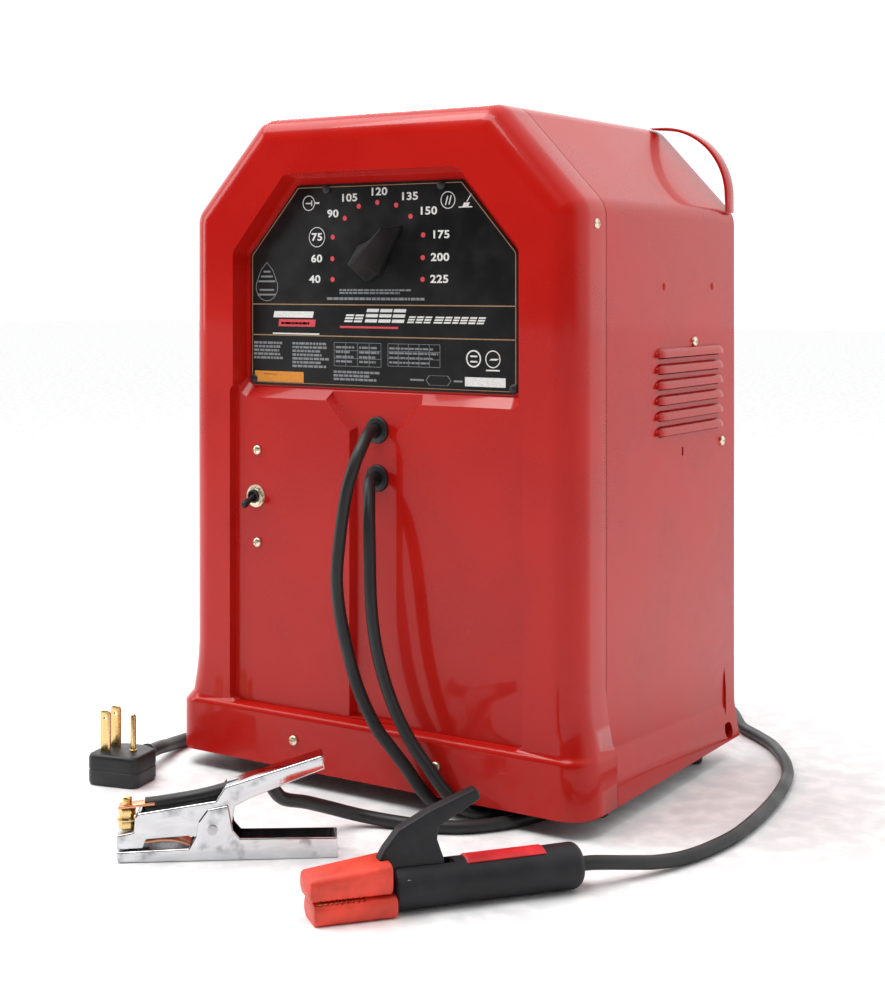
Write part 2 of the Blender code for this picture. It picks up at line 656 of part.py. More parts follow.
# ---------------------------------------------------------------- transformer
def transformer():
    near, far = front(CORE_MIDDLE - CORE_THICK / 2), front(CORE_MIDDLE + CORE_THICK / 2)
    outline = [(-CORE_HALF, CORE_LOW), (CORE_HALF, CORE_LOW), (CORE_HALF, CORE_HIGH), (-CORE_HALF, CORE_HIGH)]
    core = slab("transformer_core", outline, near, far, "core_steel")
    low, high = CORE_LOW + YOKE, CORE_HIGH - YOKE
    for name, side in (("left", -1), ("right", 1)):
        reach = sorted((side * MIDDLE_LIMB_HALF, side * (CORE_HALF - LIMB)))
        boolean(core, box(f"window_{name}", (reach[0], near - 0.01, low), (reach[1], far + 0.01, high), None))
    middle = (low + high) / 2
    inner_x, inner_y = MIDDLE_LIMB_HALF + COIL_CLEAR, CORE_THICK / 2 + COIL_CLEAR
    for name, start, end, colour in (("primary_coil", low + 0.0015, middle - 0.0025, "copper"),
                                     ("secondary_coil", middle + 0.0025, high - 0.0015, "aluminium")):
        centre = Vector((0, front(CORE_MIDDLE), 0))
        outer = Vector((inner_x + COIL_BUILD, inner_y + COIL_BUILD, 0))
        inner = Vector((inner_x, inner_y, 0))
        up = Vector((0, 0, 1))
        coil = box(name, centre - outer + up * start, centre + outer + up * end, colour, edge=0.012)
        room = box(f"{name}_room", centre - inner + up * (start - 0.01), centre + inner + up * (end + 0.01),
                   None)
        boolean(coil, room)
    shelf = PAN_BOTTOM + PAN_WALL + GAP
    top = CORE_LOW - GAP
    for name, side in (("core_bracket_left", -1), ("core_bracket_right", 1)):
        legs = [(0.088, shelf), (0.091, shelf), (0.091, top - 0.003), (0.117, top - 0.003),
                (0.117, shelf), (0.120, shelf), (0.120, top), (0.088, top)]
        slab(name, [(side * x, z) for x, z in legs], near - 0.01, far + 0.01, "steel")


# ---------------------------------------------------------------- fan
def fan():
    shelf = PAN_BOTTOM + PAN_WALL + GAP
    slab("fan_bracket", [(-0.03, shelf), (0.03, shelf), (0.03, FAN_Z + 0.045), (-0.03, FAN_Z + 0.045)],
         front(MOTOR_START - GAP - 0.003), front(MOTOR_START - GAP), "steel")
    turned("fan_motor", [(0, MOTOR_LENGTH), (MOTOR_RADIUS - 0.006, MOTOR_LENGTH), (MOTOR_RADIUS, MOTOR_LENGTH - 0.006),
                         (MOTOR_RADIUS, 0), (0, 0)], (0, front(MOTOR_START), FAN_Z), (0, 1, 0), "steel")
    axis = empty("fan_axis", (0, front(BLADE_START), FAN_Z))
    shaft_start = MOTOR_START + MOTOR_LENGTH + GAP - BLADE_START
    rod("fan_shaft", (0, shaft_start, 0), (0, 1, 0), BLADE_HUB + 0.004 - shaft_start, SHAFT_RADIUS, "steel",
        axis)
    bore = SHAFT_RADIUS + GAP
    hub = turned("fan_blade", [(bore, BLADE_HUB), (0.017, BLADE_HUB), (0.018, BLADE_HUB - 0.001), (0.018, 0),
                               (bore, 0)], (0, 0, 0), (0, 1, 0), "aluminium", axis)
    for index in range(4):
        turn = Matrix.Rotation(math.pi / 2 * index, 4, "Y")
        pitch = Matrix.Rotation(math.radians(28), 4, "Z")
        shape = bmesh.new()
        bmesh.ops.create_cube(shape, size=1)
        bmesh.ops.scale(shape, verts=shape.verts, vec=(0.046, 0.0016, FAN_RADIUS - 0.014))
        for vert in shape.verts:
            if vert.co.z < 0:
                vert.co.x *= 0.5
        bmesh.ops.transform(shape, matrix=pitch, verts=shape.verts)
        bmesh.ops.translate(shape, verts=shape.verts, vec=(0, BLADE_HUB / 2, (FAN_RADIUS + 0.014) / 2))
        bmesh.ops.transform(shape, matrix=turn, verts=shape.verts)
        blade = add_object(f"blade_{index}", mesh_from(f"blade_{index}", shape), None)
        blade.parent = axis
        boolean(hub, blade, "UNION")


# ---------------------------------------------------------------- cords
# Points of each cord in millimetres: x, depth behind the cords' front plane, height of its middle.
ELECTRODE_FRONT = [
    (0, 11.6, 325), (0, 6, 325), (2.5, -4, 322), (4.5, -15, 312.5), (3.5, -25, 297), (-1, -32, 268),
    (-5, -38, 212), (-4, -38, 181),
    (2, -36, 147), (12, -32, 108), (27, -27, 75), (42, -23, 56), (55, -18, 39), (65, -14, 24), (73, -7, 12),
    (80, 3, 6.5), (88, 18, 5.5), (93, 40, 5.5), (90, 66, 5.5), (75, 98, 5.5), (35, 145, 5.5),
    (-30, 210, 5.5),
    (-95, 280, 5.5), (-128, 325, 5.5), (-139, 360, 5.5), (-140.5, 389.9, 5.5),
]
ELECTRODE_REAR = [
    (-34.9, 495.5, 16.5), (-8, 496, 13), (25, 497, 7), (62, 497, 5.5), (98, 490, 5.5), (132, 469, 5.5),
    (158, 438, 5.5),
    (176, 409, 5.5), (193, 384, 5.5), (220, 361, 5.5), (248, 332, 5.5), (278, 284, 5.5), (297, 235, 5.5),
    (312, 161, 5.5), (319, 80, 5.5), (315, 30, 5.5), (307, -4, 6), (297, -31, 8.5), (287, -51, 12),
    (276, -70, 15.5),
    (267.6, -81.9, 17.2), (261.9, -89.3, 17.3),
]
WORK_FRONT = [
    (0, 11.6, 282), (0, 6, 282), (4, -3, 279), (10, -11.5, 269), (16, -20, 249), (21, -26, 221),
    (25, -30, 183), (29.5, -30, 149),
    (36.5, -28, 119), (47, -25, 90), (60, -21, 65), (76, -18, 44), (90, -14, 26), (102, -7, 12),
    (114, 4, 6),
    (126, 22, 5.5), (133, 50, 5.5), (130, 90, 5.5), (112, 145, 5.5), (75, 215, 5.5), (35, 285, 5.5),
    (14, 335, 5.5), (9.5, 369.9, 5.5),
]
WORK_REAR = [
    (129.5, 355.9, 16.5), (130, 330, 14), (131, 295, 8), (136, 255, 5.5), (148, 200, 5.5),
    (160, 145, 5.5), (166, 90, 5.5),
    (162, 40, 5.5), (148, 0, 5.5), (124, -32, 5.5), (94, -48, 5.5), (64, -55, 6), (39, -67, 10),
    (25, -89, 19.5),
    (20, -115, 30), (15, -140, 39),
]
POWER_FRONT = [
    (-165, 333.4, 56), (-165, 342, 55.8), (-166.5, 356, 54), (-171, 374, 49), (-184, 395, 40),
    (-207, 407, 27), (-233, 404, 15),
    (-254, 387, 8), (-264, 364, 6.5), (-265.5, 347, 6.5),
]
POWER_REAR = [
    (-265.5, 253, 19.5), (-262, 228, 15), (-256, 200, 8), (-249, 170, 6.5), (-243, 135, 6.5),
    (-241, 100, 6.5),
    (-245, 70, 6.5), (-249, 46, 6.5), (-247, 26, 7.5), (-241, 6, 10), (-235, -10, 13),
    (-231.7, -23.2, 14), (-229.5, -32.5, 14),
]
COILS = {   # centre x and depth, radius of the middle of the turns, cord diameter
    "electrode_lead_coil": (-0.075, 0.430, 0.060, LEAD_DIAMETER),
    "work_lead_coil": (0.075, 0.410, 0.060, LEAD_DIAMETER),
    "power_cord_coil": (-0.342, 0.300, 0.070, POWER_DIAMETER),
}


def cords():
    for name, points, diameter in (("electrode_lead_front", ELECTRODE_FRONT, LEAD_DIAMETER),
                                   ("electrode_lead_rear", ELECTRODE_REAR, LEAD_DIAMETER),
                                   ("work_lead_front", WORK_FRONT, LEAD_DIAMETER),
                                   ("work_lead_rear", WORK_REAR, LEAD_DIAMETER),
                                   ("power_cord_front", POWER_FRONT, POWER_DIAMETER),
                                   ("power_cord_rear", POWER_REAR, POWER_DIAMETER)):
        route = [(x * MM, CORD_FRONT + depth * MM, z * MM) for x, depth, z in points]
        tube(name, smooth_route(route, diameter * 2.2, diameter / 2), diameter, "black_rubber")
    for name, (x, depth, middle, diameter) in COILS.items():
        inner, outer, top = middle - diameter, middle + diameter, 2 * diameter
        edge = diameter * 0.3
        profile = [(inner, top - edge), (inner + edge, top), (outer - edge, top), (outer, top - edge),
                   (outer, edge), (outer - edge, 0), (inner + edge, 0), (inner, edge)]
        turned(name, profile, (x, CORD_FRONT + depth, 0), (0, 0, 1), "black_rubber", sides=24)


# ---------------------------------------------------------------- plug
def plug():
    at = empty("plug_place", (-0.219, CORD_FRONT - 0.078, 0), 13)
    outline = rounded([(-0.026, -0.023), (0.026, -0.023), (0.026, 0.016), (0.010, 0.024), (-0.010, 0.024),
                       (-0.026, 0.016)], 0.007)
    high = 0.028
    body = loft("plug_body", [[(x * k, y * k, z) for x, y in outline]
                              for k, z in ((0.93, 0), (1, 0.004), (1, high - 0.004), (0.95, high))],
                              "black_rubber", at)
    boot = turned("plug_boot", [(0, 0.046), (POWER_DIAMETER / 2 + 0.0015, 0.046), (0.0105, 0.018), (0.0105, 0), (0, 0)],
                  (0, 0, 0.014), (0, 1, 0), None, at, 16)
    boolean(body, boot, "UNION")
    top = high + GAP
    for name, y in (("plug_blade_near", -0.009), ("plug_blade_far", 0.009)):
        box(name, (-0.0185, y - 0.0012, top), (-0.0085, y + 0.0012, top + 0.037), "brass", at, 0.0008)
    rod("plug_ground_pin", (0.010, 0, top), (0, 0, 1), 0.034, 0.0026, "brass", at, 14)


# ---------------------------------------------------------------- electrode holder
def scaled(points):
    return [(x * MM, z * MM) for x, z in points]


def rounded_slice(x, half, low, high, radius, steps=3):
    corners = [(-half, low), (half, low), (half, high), (-half, high)]
    return [(x, y, z) for y, z in rounded(corners, radius, steps)]


def electrode_holder():
    """Along +X from the jaws' tip to the lead, lying on the floor."""
    at = empty("holder_place", (0.131, CORD_FRONT - 0.260, 0), 52.5)
    radius, middle, start, end = 0.017, 0.0173, 0.065, 0.214
    handle = turned("holder_handle",
                    [(0, end - start), (radius - 0.004, end - start), (radius, end - start - 0.004),
                                      (radius, 0), (0, 0)], (start, 0, middle), (1, 0, 0), "black_plastic",
                                      at)
    slot = box("holder_slot", (start - 0.01, -0.0065, 0.010), (start + 0.047, 0.0065, 0.05), None, at)
    boolean(handle, slot)
    pin = Vector((0.074, 0, 0.024))
    hole(handle, "holder_pin_hole", pin - Vector((0, 0.02, 0)), (0, 1, 0), 0.04, 0.0027, 14)
    rod("holder_pivot", pin - Vector((0, 0.0145, 0)), (0, 1, 0), 0.029, 0.0024, "steel", at, 14)
    axis = empty("holder_pivot_axis", pin)
    axis.parent = at
    outline = scaled([(61.4, 21), (104, 21), (104.4, 35), (96.7, 56), (102.9, 61.2), (133.2, 76.5),
                      (131.5, 81.5), (127.6, 84),
                      (93.7, 71.6), (81.5, 66.3), (69.4, 59), (60.3, 48.5), (56, 39.2), (61.4, 39.2)])
    outline = [(x - pin.x, z - pin.z) for x, z in outline]
    lever = slab("holder_lever", outline, -0.0055, 0.0055, "black_plastic", axis)
    hole(lever, "lever_pin_hole", (0, -0.02, 0), (0, 1, 0), 0.04, 0.0027, 14)
    upper = [rounded_slice(x - pin.x, half, low - pin.z, high - pin.z, 0.005)
             for x, half, low, high in ((0.0005, 0.0135, 0.0195, 0.0325), (0.003, 0.015, 0.0174, 0.034), (0.061, 0.017, 0.0174, 0.0384))]
    loft("holder_upper_jaw", upper, "tip_red", axis)
    lower = [rounded_slice(x, half, low, high, 0.005)
             for x, half, low, high in ((0.0035, 0.0135, 0.002, 0.0145), (0.006, 0.015, 0.0003, 0.0162), (0.0645, 0.017, 0.0003, 0.0162))]
    loft("holder_lower_jaw", lower, "tip_red", at)
    tube("holder_spring", helix((0.094, 0, 0.0155), (0, 0, 1), 0.0035, 0.0085, 4), 0.0012, "steel", at)


# ---------------------------------------------------------------- work clamp
def work_clamp():
    """Along +X from the jaws' tip to the handles, its lower jaw on the floor."""
    at = empty("clamp_place", (-0.076, CORD_FRONT - 0.234, 0), 37.5)
    lower = slab("clamp_lower_jaw",
                 scaled([(0, 2), (5, 0), (174, 0), (174, 17), (96, 17), (91.5, 22), (89.5, 31), (87.5, 43),
                                            (70, 40), (64, 30), (62.8, 22), (59, 13), (53, 9.3),
                                            (22, 9.3), (0, 8.5)]),
                 -0.013, 0.013, "chrome", at)
    boolean(lower, slab("lower_channel", scaled([(8, 1.6), (190, 1.6), (190, 60), (8, 60)]), -0.0114, 0.0114, None, at))
    pin = Vector((0.0755, 0, 0.0247))
    axis = empty("clamp_pivot_axis", pin)
    axis.parent = at

    def from_pin(points):
        return [(x - pin.x, z - pin.z) for x, z in scaled(points)]

    upper = slab("clamp_upper_jaw",
                 from_pin([(0, 9.8), (21, 10.6), (23, 17.6), (58, 19.5), (66, 17), (85, 17), (90, 28),
                           (92, 42),
                                              (105, 48), (164.2, 70.3), (161.5, 81.2), (85, 58),
                                              (79, 47), (17, 38),
                                              (15, 37), (14, 23.3), (0, 21)]),
                                              -0.0111, 0.0111, "chrome", axis)
    cuts = {"lead_channel": [(19, 28.5), (86, 34), (86, 57), (84, 70), (19, 60)],
            "handle_channel": [(91, 38), (91, 58), (175, 83.6), (175, 60), (108, 36)],
            "ear_room": [(62, 10), (88, 10), (88, 30), (62, 30)]}
    for name, points in cuts.items():
        boolean(upper, slab(name, from_pin(points), -0.0095, 0.0095, None, axis))
    hole(upper, "upper_pin_hole", (0, -0.02, 0), (0, 1, 0), 0.04, 0.0027, 14)
    hole(lower, "lower_pin_hole", pin - Vector((0, 0.02, 0)), (0, 1, 0), 0.04, 0.0027, 14)
    head = [(0, 0.0148), (0.004, 0.0145), (0.004, 0.0133), (0.0024, 0.0133), (0.0024, -0.0133),
            (0.004, -0.0133),
            (0.004, -0.0145), (0, -0.0148)]
    turned("clamp_pivot", head, pin, (0, 1, 0), "steel", at, 14)
    tube("clamp_spring", helix(pin, (0, 1, 0), 0.0039, 0.012, 6), 0.0014, "steel", at)
    nut = 0.0065
    turned("clamp_bolt", [(0, 0.0255), (0.0035, 0.025), (0.004, 0.024), (0.004, 0.017), (nut, 0.0165), (nut, 0.0105), (0.0045, 0.010),
                          (0.0045, 0.008), (nut, 0.0075), (nut, 0),
                          (0, 0)], (0.0075 - pin.x, 0, 0.0236 - pin.z), (0, 0, 1),
           "brass", axis, 12)


front_cover()
wrap_cover()
rear_panel()
base_pan()
lift_handles()
feet()
nameplate()
screws()
lead_bushings()
power_cord_gland()
selector()
line_switch()
transformer()
fan()
cords()
plug()
electrode_holder()
work_clamp()
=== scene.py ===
# Transformer stick welder: enamelled steel case, dial, leads, electrode holder, work clamp and plug.
# Metres, +Z up, the case's front faces -Y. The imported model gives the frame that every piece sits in.
import json
import math
import random

import bmesh
import bpy
from mathutils import Matrix, Vector


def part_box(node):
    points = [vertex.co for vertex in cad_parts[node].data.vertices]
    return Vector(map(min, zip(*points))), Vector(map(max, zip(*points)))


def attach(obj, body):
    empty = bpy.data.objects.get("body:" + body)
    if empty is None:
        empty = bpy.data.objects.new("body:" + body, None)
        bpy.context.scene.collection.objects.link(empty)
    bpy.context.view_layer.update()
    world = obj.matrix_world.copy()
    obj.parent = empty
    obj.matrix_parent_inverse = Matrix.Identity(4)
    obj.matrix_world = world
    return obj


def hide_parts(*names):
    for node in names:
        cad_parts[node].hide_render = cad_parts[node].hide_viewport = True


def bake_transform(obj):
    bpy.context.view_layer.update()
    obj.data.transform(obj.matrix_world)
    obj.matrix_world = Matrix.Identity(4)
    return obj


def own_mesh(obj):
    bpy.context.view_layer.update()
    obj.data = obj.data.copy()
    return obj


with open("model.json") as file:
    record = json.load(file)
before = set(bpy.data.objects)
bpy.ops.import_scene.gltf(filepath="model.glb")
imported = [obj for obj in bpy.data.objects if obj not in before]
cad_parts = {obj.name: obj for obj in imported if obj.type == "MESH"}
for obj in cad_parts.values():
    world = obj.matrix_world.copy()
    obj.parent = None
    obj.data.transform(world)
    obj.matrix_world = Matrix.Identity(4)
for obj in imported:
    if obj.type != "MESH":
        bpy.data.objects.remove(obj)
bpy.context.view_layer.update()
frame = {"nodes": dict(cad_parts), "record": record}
mm = 0.001
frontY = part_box("front_cover")[0].y   # y of the case's front face
print("frame loaded,", len(frame["nodes"]), "nodes")


merge = 1e-6   # points nearer than this are one


def added(name, data):
    obj = bpy.data.objects.new(name, data)
    bpy.context.scene.collection.objects.link(obj)
    return obj


def baked(obj, *helpers):   # the evaluated object as a bmesh, after which it and its helpers go
    shape = bmesh.new()
    shape.from_mesh(obj.evaluated_get(bpy.context.evaluated_depsgraph_get()).to_mesh())
    for used in (obj, *helpers):
        bpy.data.objects.remove(used)
    bmesh.ops.remove_doubles(shape, verts=shape.verts, dist=merge)
    return shape


def placed(shape, matrix):
    bmesh.ops.transform(shape, matrix=matrix, verts=shape.verts)
    return shape


def moved(shape, *step):
    bmesh.ops.translate(shape, verts=shape.verts, vec=step)
    return shape


# ---- view and light
view = {"place": (0.8739, -1.3712, 0.4572), "turn": 33.13, "lens": 60.92, "shift": -0.218}
room = {
    "air": (0.06, 1.25), "airTurn": (-0.60, 0.22), "sun": ((-1.3, -0.35, 1.9), 1.0, 38),
    "lamps": [   # name, place, target, size, watts, tint
        ("overheadBox", (-0.3, -1.0, 2.3), (0, -0.1, 0.4), (2.0, 0.9), 34, (1.0, 0.99, 0.97)),
        ("leftBox", (-2.3, -1.0, 1.1), (0, -0.1, 0.3), (0.7, 1.6), 12, (1, 1, 1)),
        ("rimBox", (-1.5, 1.5, 1.7), (0, 0, 0.4), (1.2, 0.35), 12, (1, 1, 1)),
    ],
}


def setCamera():
    lens = bpy.data.cameras.new("viewCamera")
    lens.lens, lens.shift_y, lens.clip_start = view["lens"], view["shift"], 0.05
    camera = added("viewCamera", lens)
    camera.location = view["place"]
    camera.rotation_euler = (math.radians(90), 0, math.radians(view["turn"]))
    bpy.context.scene.camera = camera


def setLights():
    world = bpy.data.worlds.new("studioAir")
    world.use_nodes = True
    tree = world.node_tree   # the far side of the studio is brighter than the side behind the viewer
    way, split, glow = (tree.nodes.new("ShaderNode" + kind) for kind in ("TexCoord", "SeparateXYZ", "MapRange"))
    glow.interpolation_type = "SMOOTHSTEP"
    for socket, value in zip(("From Min", "From Max", "To Min", "To Max"), room["airTurn"] + room["air"]):
        glow.inputs[socket].default_value = value
    tree.links.new(way.outputs["Generated"], split.inputs[0])
    tree.links.new(split.outputs["Y"], glow.inputs["Value"])
    tree.links.new(glow.outputs["Result"], tree.nodes["Background"].inputs["Strength"])
    tree.nodes["Background"].inputs["Color"].default_value = (1, 1, 1, 1)
    bpy.context.scene.world = world
    source, power, spread = room["sun"]
    sun = bpy.data.lights.new("sunPanel", "SUN")
    sun.energy, sun.angle = power, math.radians(spread)
    added("sunPanel", sun).rotation_euler = Vector(source).to_track_quat("Z", "Y").to_euler()
    for name, place, target, size, watts, tint in room["lamps"]:
        lamp = bpy.data.lights.new(name, "AREA")
        lamp.shape, lamp.size, lamp.size_y, lamp.energy, lamp.color = "RECTANGLE", *size, watts, tint
        holder = added(name, lamp)
        holder.location = place
        holder.rotation_euler = (Vector(target) - Vector(place)).to_track_quat("-Z", "Y").to_euler()


# ---- shader wiring
class Wire:   # one socket of a material, with arithmetic
    def __init__(self, paint, socket):
        self.paint, self.socket = paint, socket

    def sum(self, operation, *values):
        return self.paint.node("ShaderNodeMath", {"operation": operation}, dict(enumerate(values)))

    def __add__(self, other): return self.sum("ADD", self, other)
    def __rsub__(self, other): return self.sum("SUBTRACT", other, self)
    def __mul__(self, other): return self.sum("MULTIPLY", self, other)


class Paint:   # a material under construction
    def __init__(self, name, **fixed):
        self.material = bpy.data.materials.new(name)
        self.material.use_nodes = True
        self.tree = self.material.node_tree
        self.shader = self.tree.nodes["Principled BSDF"]
        for socket, value in fixed.items():
            self.set(socket, value)

    def set(self, socket, value):
        socket = self.shader.inputs[socket.replace("_", " ")]
        if isinstance(value, Wire):
            self.tree.links.new(value.socket, socket)
        else:
            socket.default_value = (*value, 1) if isinstance(value, tuple) else value

    def node(self, kind, settings={}, inputs={}, out=0):
        made = self.tree.nodes.new(kind)
        for key, value in settings.items():
            setattr(made, key, value)
        for key, value in inputs.items():
            socket = made.inputs[key]
            if isinstance(value, Wire):
                self.tree.links.new(value.socket, socket)
            else:
                socket.default_value = (*value, 1) if isinstance(value, tuple) and len(value) == 3 \
                    and socket.type == "RGBA" else value
        return Wire(self, made.outputs[out])

    def place(self):
        return self.node("ShaderNodeTexCoord", out="Object")

    def axis(self, name):
        return self.node("ShaderNodeSeparateXYZ", {}, {0: self.place()}, name)

    def noise(self, scale, detail=3.0, roughness=0.5, stretch=(1, 1, 1)):
        spot = self.node("ShaderNodeMapping", {}, {"Vector": self.place(), "Scale": stretch})
        return self.node("ShaderNodeTexNoise", {}, {"Vector": spot, "Scale": scale, "Detail": detail,
                                                    "Roughness": roughness}, "Fac")

    def band(self, value, low, high, first=0.0, last=1.0):   # value low..high becomes first..last, held outside
        return self.node("ShaderNodeMapRange", {"clamp": True, "interpolation_type": "SMOOTHSTEP"},
                         {"Value": value, "From Min": low, "From Max": high, "To Min": first, "To Max": last}, "Result")

    def mix(self, share, first, second):
        return self.node("ShaderNodeMix", {"data_type": "RGBA"}, {0: share, 6: first, 7: second}, 2)

    def bump(self, height, depth, strength=1.0):
        self.set("Normal", self.node("ShaderNodeBump", {}, {"Height": height, "Distance": depth, "Strength": strength},
                                     "Normal"))


def enamel(name, base, dark):
    paint = Paint(name, Specular_IOR_Level=0.16, Coat_Roughness=0.05, Coat_IOR=1.5)
    cloud = paint.noise(9, 2)
    speck = paint.noise(900, 2)
    dust = paint.band(paint.axis("Z"), 0.10, 0.0)
    tone = paint.mix(paint.band(cloud, 0.35, 0.65), dark, base)
    haze = dust * paint.band(paint.noise(60, 4), 0.35, 0.7) * 0.05
    paint.set("Base Color", paint.mix(haze, tone, (0.45, 0.22, 0.18)))
    paint.set("Roughness", paint.band(cloud + speck * 0.3, 0.4, 0.9, 0.24, 0.34) + dust * 0.08)
    paint.set("Coat Weight", 0.40 - dust * 0.2)
    paint.bump(paint.noise(16, 1) * 0.7 + paint.noise(420, 1) * 0.05, 0.0012, 0.28)
    return paint.material


def plastic(name, base, roughness, grain=1400, depth=0.00012, shine=0.36):
    paint = Paint(name, Specular_IOR_Level=shine)
    cloud, fine = paint.noise(45, 3), paint.noise(grain, 3)
    light = tuple(min(1.0, c * 1.5 + 0.004) for c in base)
    paint.set("Base Color", paint.mix(paint.band(cloud, 0.35, 0.75), base, light))
    paint.set("Roughness", paint.band(cloud * 0.6 + fine * 0.4, 0.3, 0.7, roughness - 0.07, roughness + 0.09))
    paint.bump(fine, depth, 0.5)
    return paint.material


def rubber(name, base=(0.016, 0.016, 0.017), roughness=0.44):
    paint = Paint(name, Specular_IOR_Level=0.42)
    cloud, fine = paint.noise(30, 4), paint.noise(750, 4)
    scuff = paint.band(paint.noise(120, 5, 0.7), 0.60, 0.74)
    paint.set("Base Color", paint.mix(scuff * 0.35, base, (0.06, 0.058, 0.056)))
    paint.set("Roughness", paint.band(cloud, 0.3, 0.7, roughness - 0.08, roughness + 0.08) + scuff * 0.12)
    paint.bump(fine, 0.0003, 0.35)
    return paint.material


def metal(name, base, tarnishAndReflection, roughness, brush=(1, 1, 1), scale=300, spots=0.35):
    paint = Paint(name, Metallic=1.0)
    drawn, cloud = paint.noise(scale, 3, 0.6, brush), paint.noise(60, 4)
    # cloudy patches of the second colour: real tarnish on most metals, painted dark reflection streaks on the chrome
    stainAndReflection = paint.band(cloud, 0.52, 0.74) * spots
    paint.set("Base Color", paint.mix(stainAndReflection, base, tarnishAndReflection))
    paint.set("Roughness", paint.band(drawn, 0.3, 0.7, roughness * 0.75, roughness * 1.3) + stainAndReflection * 0.15)
    paint.bump(drawn, 0.00012, 0.3)
    return paint.material


def print_(name, base):   # screen-printed ink on the overlay
    paint = Paint(name, Specular_IOR_Level=0.4)
    wear = paint.band(paint.noise(900, 3), 0.40, 0.62)
    paint.set("Base Color", paint.mix(wear, tuple(c * 0.82 for c in base), base))
    paint.set("Roughness", paint.band(paint.noise(300, 2), 0.3, 0.7, 0.38, 0.52))
    return paint.material


def makeFinishes():
    made = {
        "red_enamel": enamel("redEnamel", (0.50, 0.0075, 0.0035), (0.455, 0.006, 0.003)),
        "black_plate": plastic("overlayBlack", (0.007, 0.007, 0.0075), 0.38, 1600, 0.00005, 0.16),
        "black_plastic": plastic("mouldedBlack", (0.014, 0.014, 0.015), 0.46),
        "grip_black": plastic("gripBlack", (0.011, 0.011, 0.013), 0.50, 900, 0.0003, 0.3),
        "black_rubber": rubber("cordRubber"),
        "zinc": metal("yellowZinc", (0.80, 0.72, 0.55), (0.52, 0.42, 0.26), 0.32, (1, 1, 1), 260),
        "steel": metal("plainSteel", (0.52, 0.53, 0.55), (0.30, 0.29, 0.28), 0.38, (1, 1, 6)),
        "core_steel": metal("coreLaminations", (0.20, 0.21, 0.22), (0.12, 0.09, 0.07), 0.5, (0.1, 60, 0.1), 40),
        "copper": metal("windingCopper", (0.78, 0.36, 0.20), (0.40, 0.16, 0.08), 0.35, (0.2, 0.2, 8)),
        "aluminium": metal("castAluminium", (0.78, 0.79, 0.80), (0.55, 0.55, 0.55), 0.34),
        "brass": metal("turnedBrass", (0.80, 0.58, 0.26), (0.48, 0.29, 0.12), 0.26, (1, 1, 9), 240),
        # chrome: its dark second colour, mixed in cloudy patches, is painted reflection of dark surroundings, not
        # tarnish
        "chrome": metal("brightPlate", (0.62, 0.625, 0.64), (0.14, 0.14, 0.15), 0.10, (9, 9, 1), 60, 0.6),
        "phenolic": plastic("brownPhenolic", (0.09, 0.045, 0.022), 0.5),
        "tip_red": plastic("jawInsulator", (0.62, 0.050, 0.028), 0.42, 500, 0.0002),
        "label_red": plastic("gripLabel", (0.50, 0.016, 0.020), 0.40),
        "ink_white": print_("inkWhite", (0.82, 0.82, 0.80)),
        "ink_grey": print_("inkGrey", (0.24, 0.25, 0.26)),
        "ink_tan": print_("inkTan", (0.42, 0.25, 0.13)),
        "ink_pink": print_("inkPink", (0.72, 0.07, 0.09)),
        "ink_orange": print_("inkOrange", (0.75, 0.28, 0.03)),
        "knob_black": plastic("knobBlack", (0.010, 0.010, 0.011), 0.36, 2400, 0.00003),
        "floor": plastic("studioPaper", (0.83, 0.83, 0.84), 0.6, 200, 0.00001),
        "braid": metal("copperBraid", (0.72, 0.34, 0.20), (0.36, 0.16, 0.09), 0.4, (1, 1, 1), 1500, 0.5),
    }
    return made


finishes = makeFinishes()
slotOf = {row["node"]: row["material_slot"] for row in frame["record"]["subparts"]}
for nodeName, node in frame["nodes"].items():   # carried-over nodes get the same finishes
    node.data.materials.clear()
    node.data.materials.append(finishes[slotOf[nodeName]])
    node.data.shade_smooth()
    node.data.set_sharp_from_angle(angle=math.radians(35))
print("finishes ready,", len(finishes))


# ---- shape helpers
def piece(name, shape, finish, body="root", stands=(), at=None, crease=35):
    if at is not None:
        placed(shape, at)
    bmesh.ops.remove_doubles(shape, verts=shape.verts, dist=merge)
    bmesh.ops.recalc_face_normals(shape, faces=shape.faces)
    mesh = bpy.data.meshes.new(name)
    shape.to_mesh(mesh)
    shape.free()
    mesh.shade_smooth()
    mesh.set_sharp_from_angle(angle=math.radians(crease))
    mesh.materials.append(finishes[finish])
    obj = added(name, mesh)
    if body:
        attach(obj, body)
    if stands:
        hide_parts(*stands)
    return obj


def arc(x, z, radius, first, last, steps):   # points of an arc, degrees anticlockwise from +x
    turns = [math.radians(first + (last - first) * k / steps) for k in range(steps + 1)]
    return [(x + radius * math.cos(t), z + radius * math.sin(t)) for t in turns]


def spun(profile, steps=40, closed=False):   # (radius, height) turned about Z
    shape = bmesh.new()
    verts = [shape.verts.new((radius, 0, height)) for radius, height in profile]
    pairs = list(zip(verts, verts[1:])) + ([(verts[-1], verts[0])] if closed else [])
    edges = [shape.edges.new(pair) for pair in pairs]
    bmesh.ops.spin(shape, geom=verts + edges, cent=(0, 0, 0), axis=(0, 0, 1), angle=2 * math.pi,
                   steps=steps, use_merge=True)
    bmesh.ops.remove_doubles(shape, verts=shape.verts, dist=1e-6)
    return shape


def pushed(outline, start, end):   # an (x, z) outline between two depths y
    shape = bmesh.new()
    face = shape.faces.new([shape.verts.new((x, start, z)) for x, z in outline])
    grown = bmesh.ops.extrude_face_region(shape, geom=[face])["geom"]
    bmesh.ops.translate(shape, verts=[g for g in grown if isinstance(g, bmesh.types.BMVert)], vec=(0, end - start, 0))
    return shape


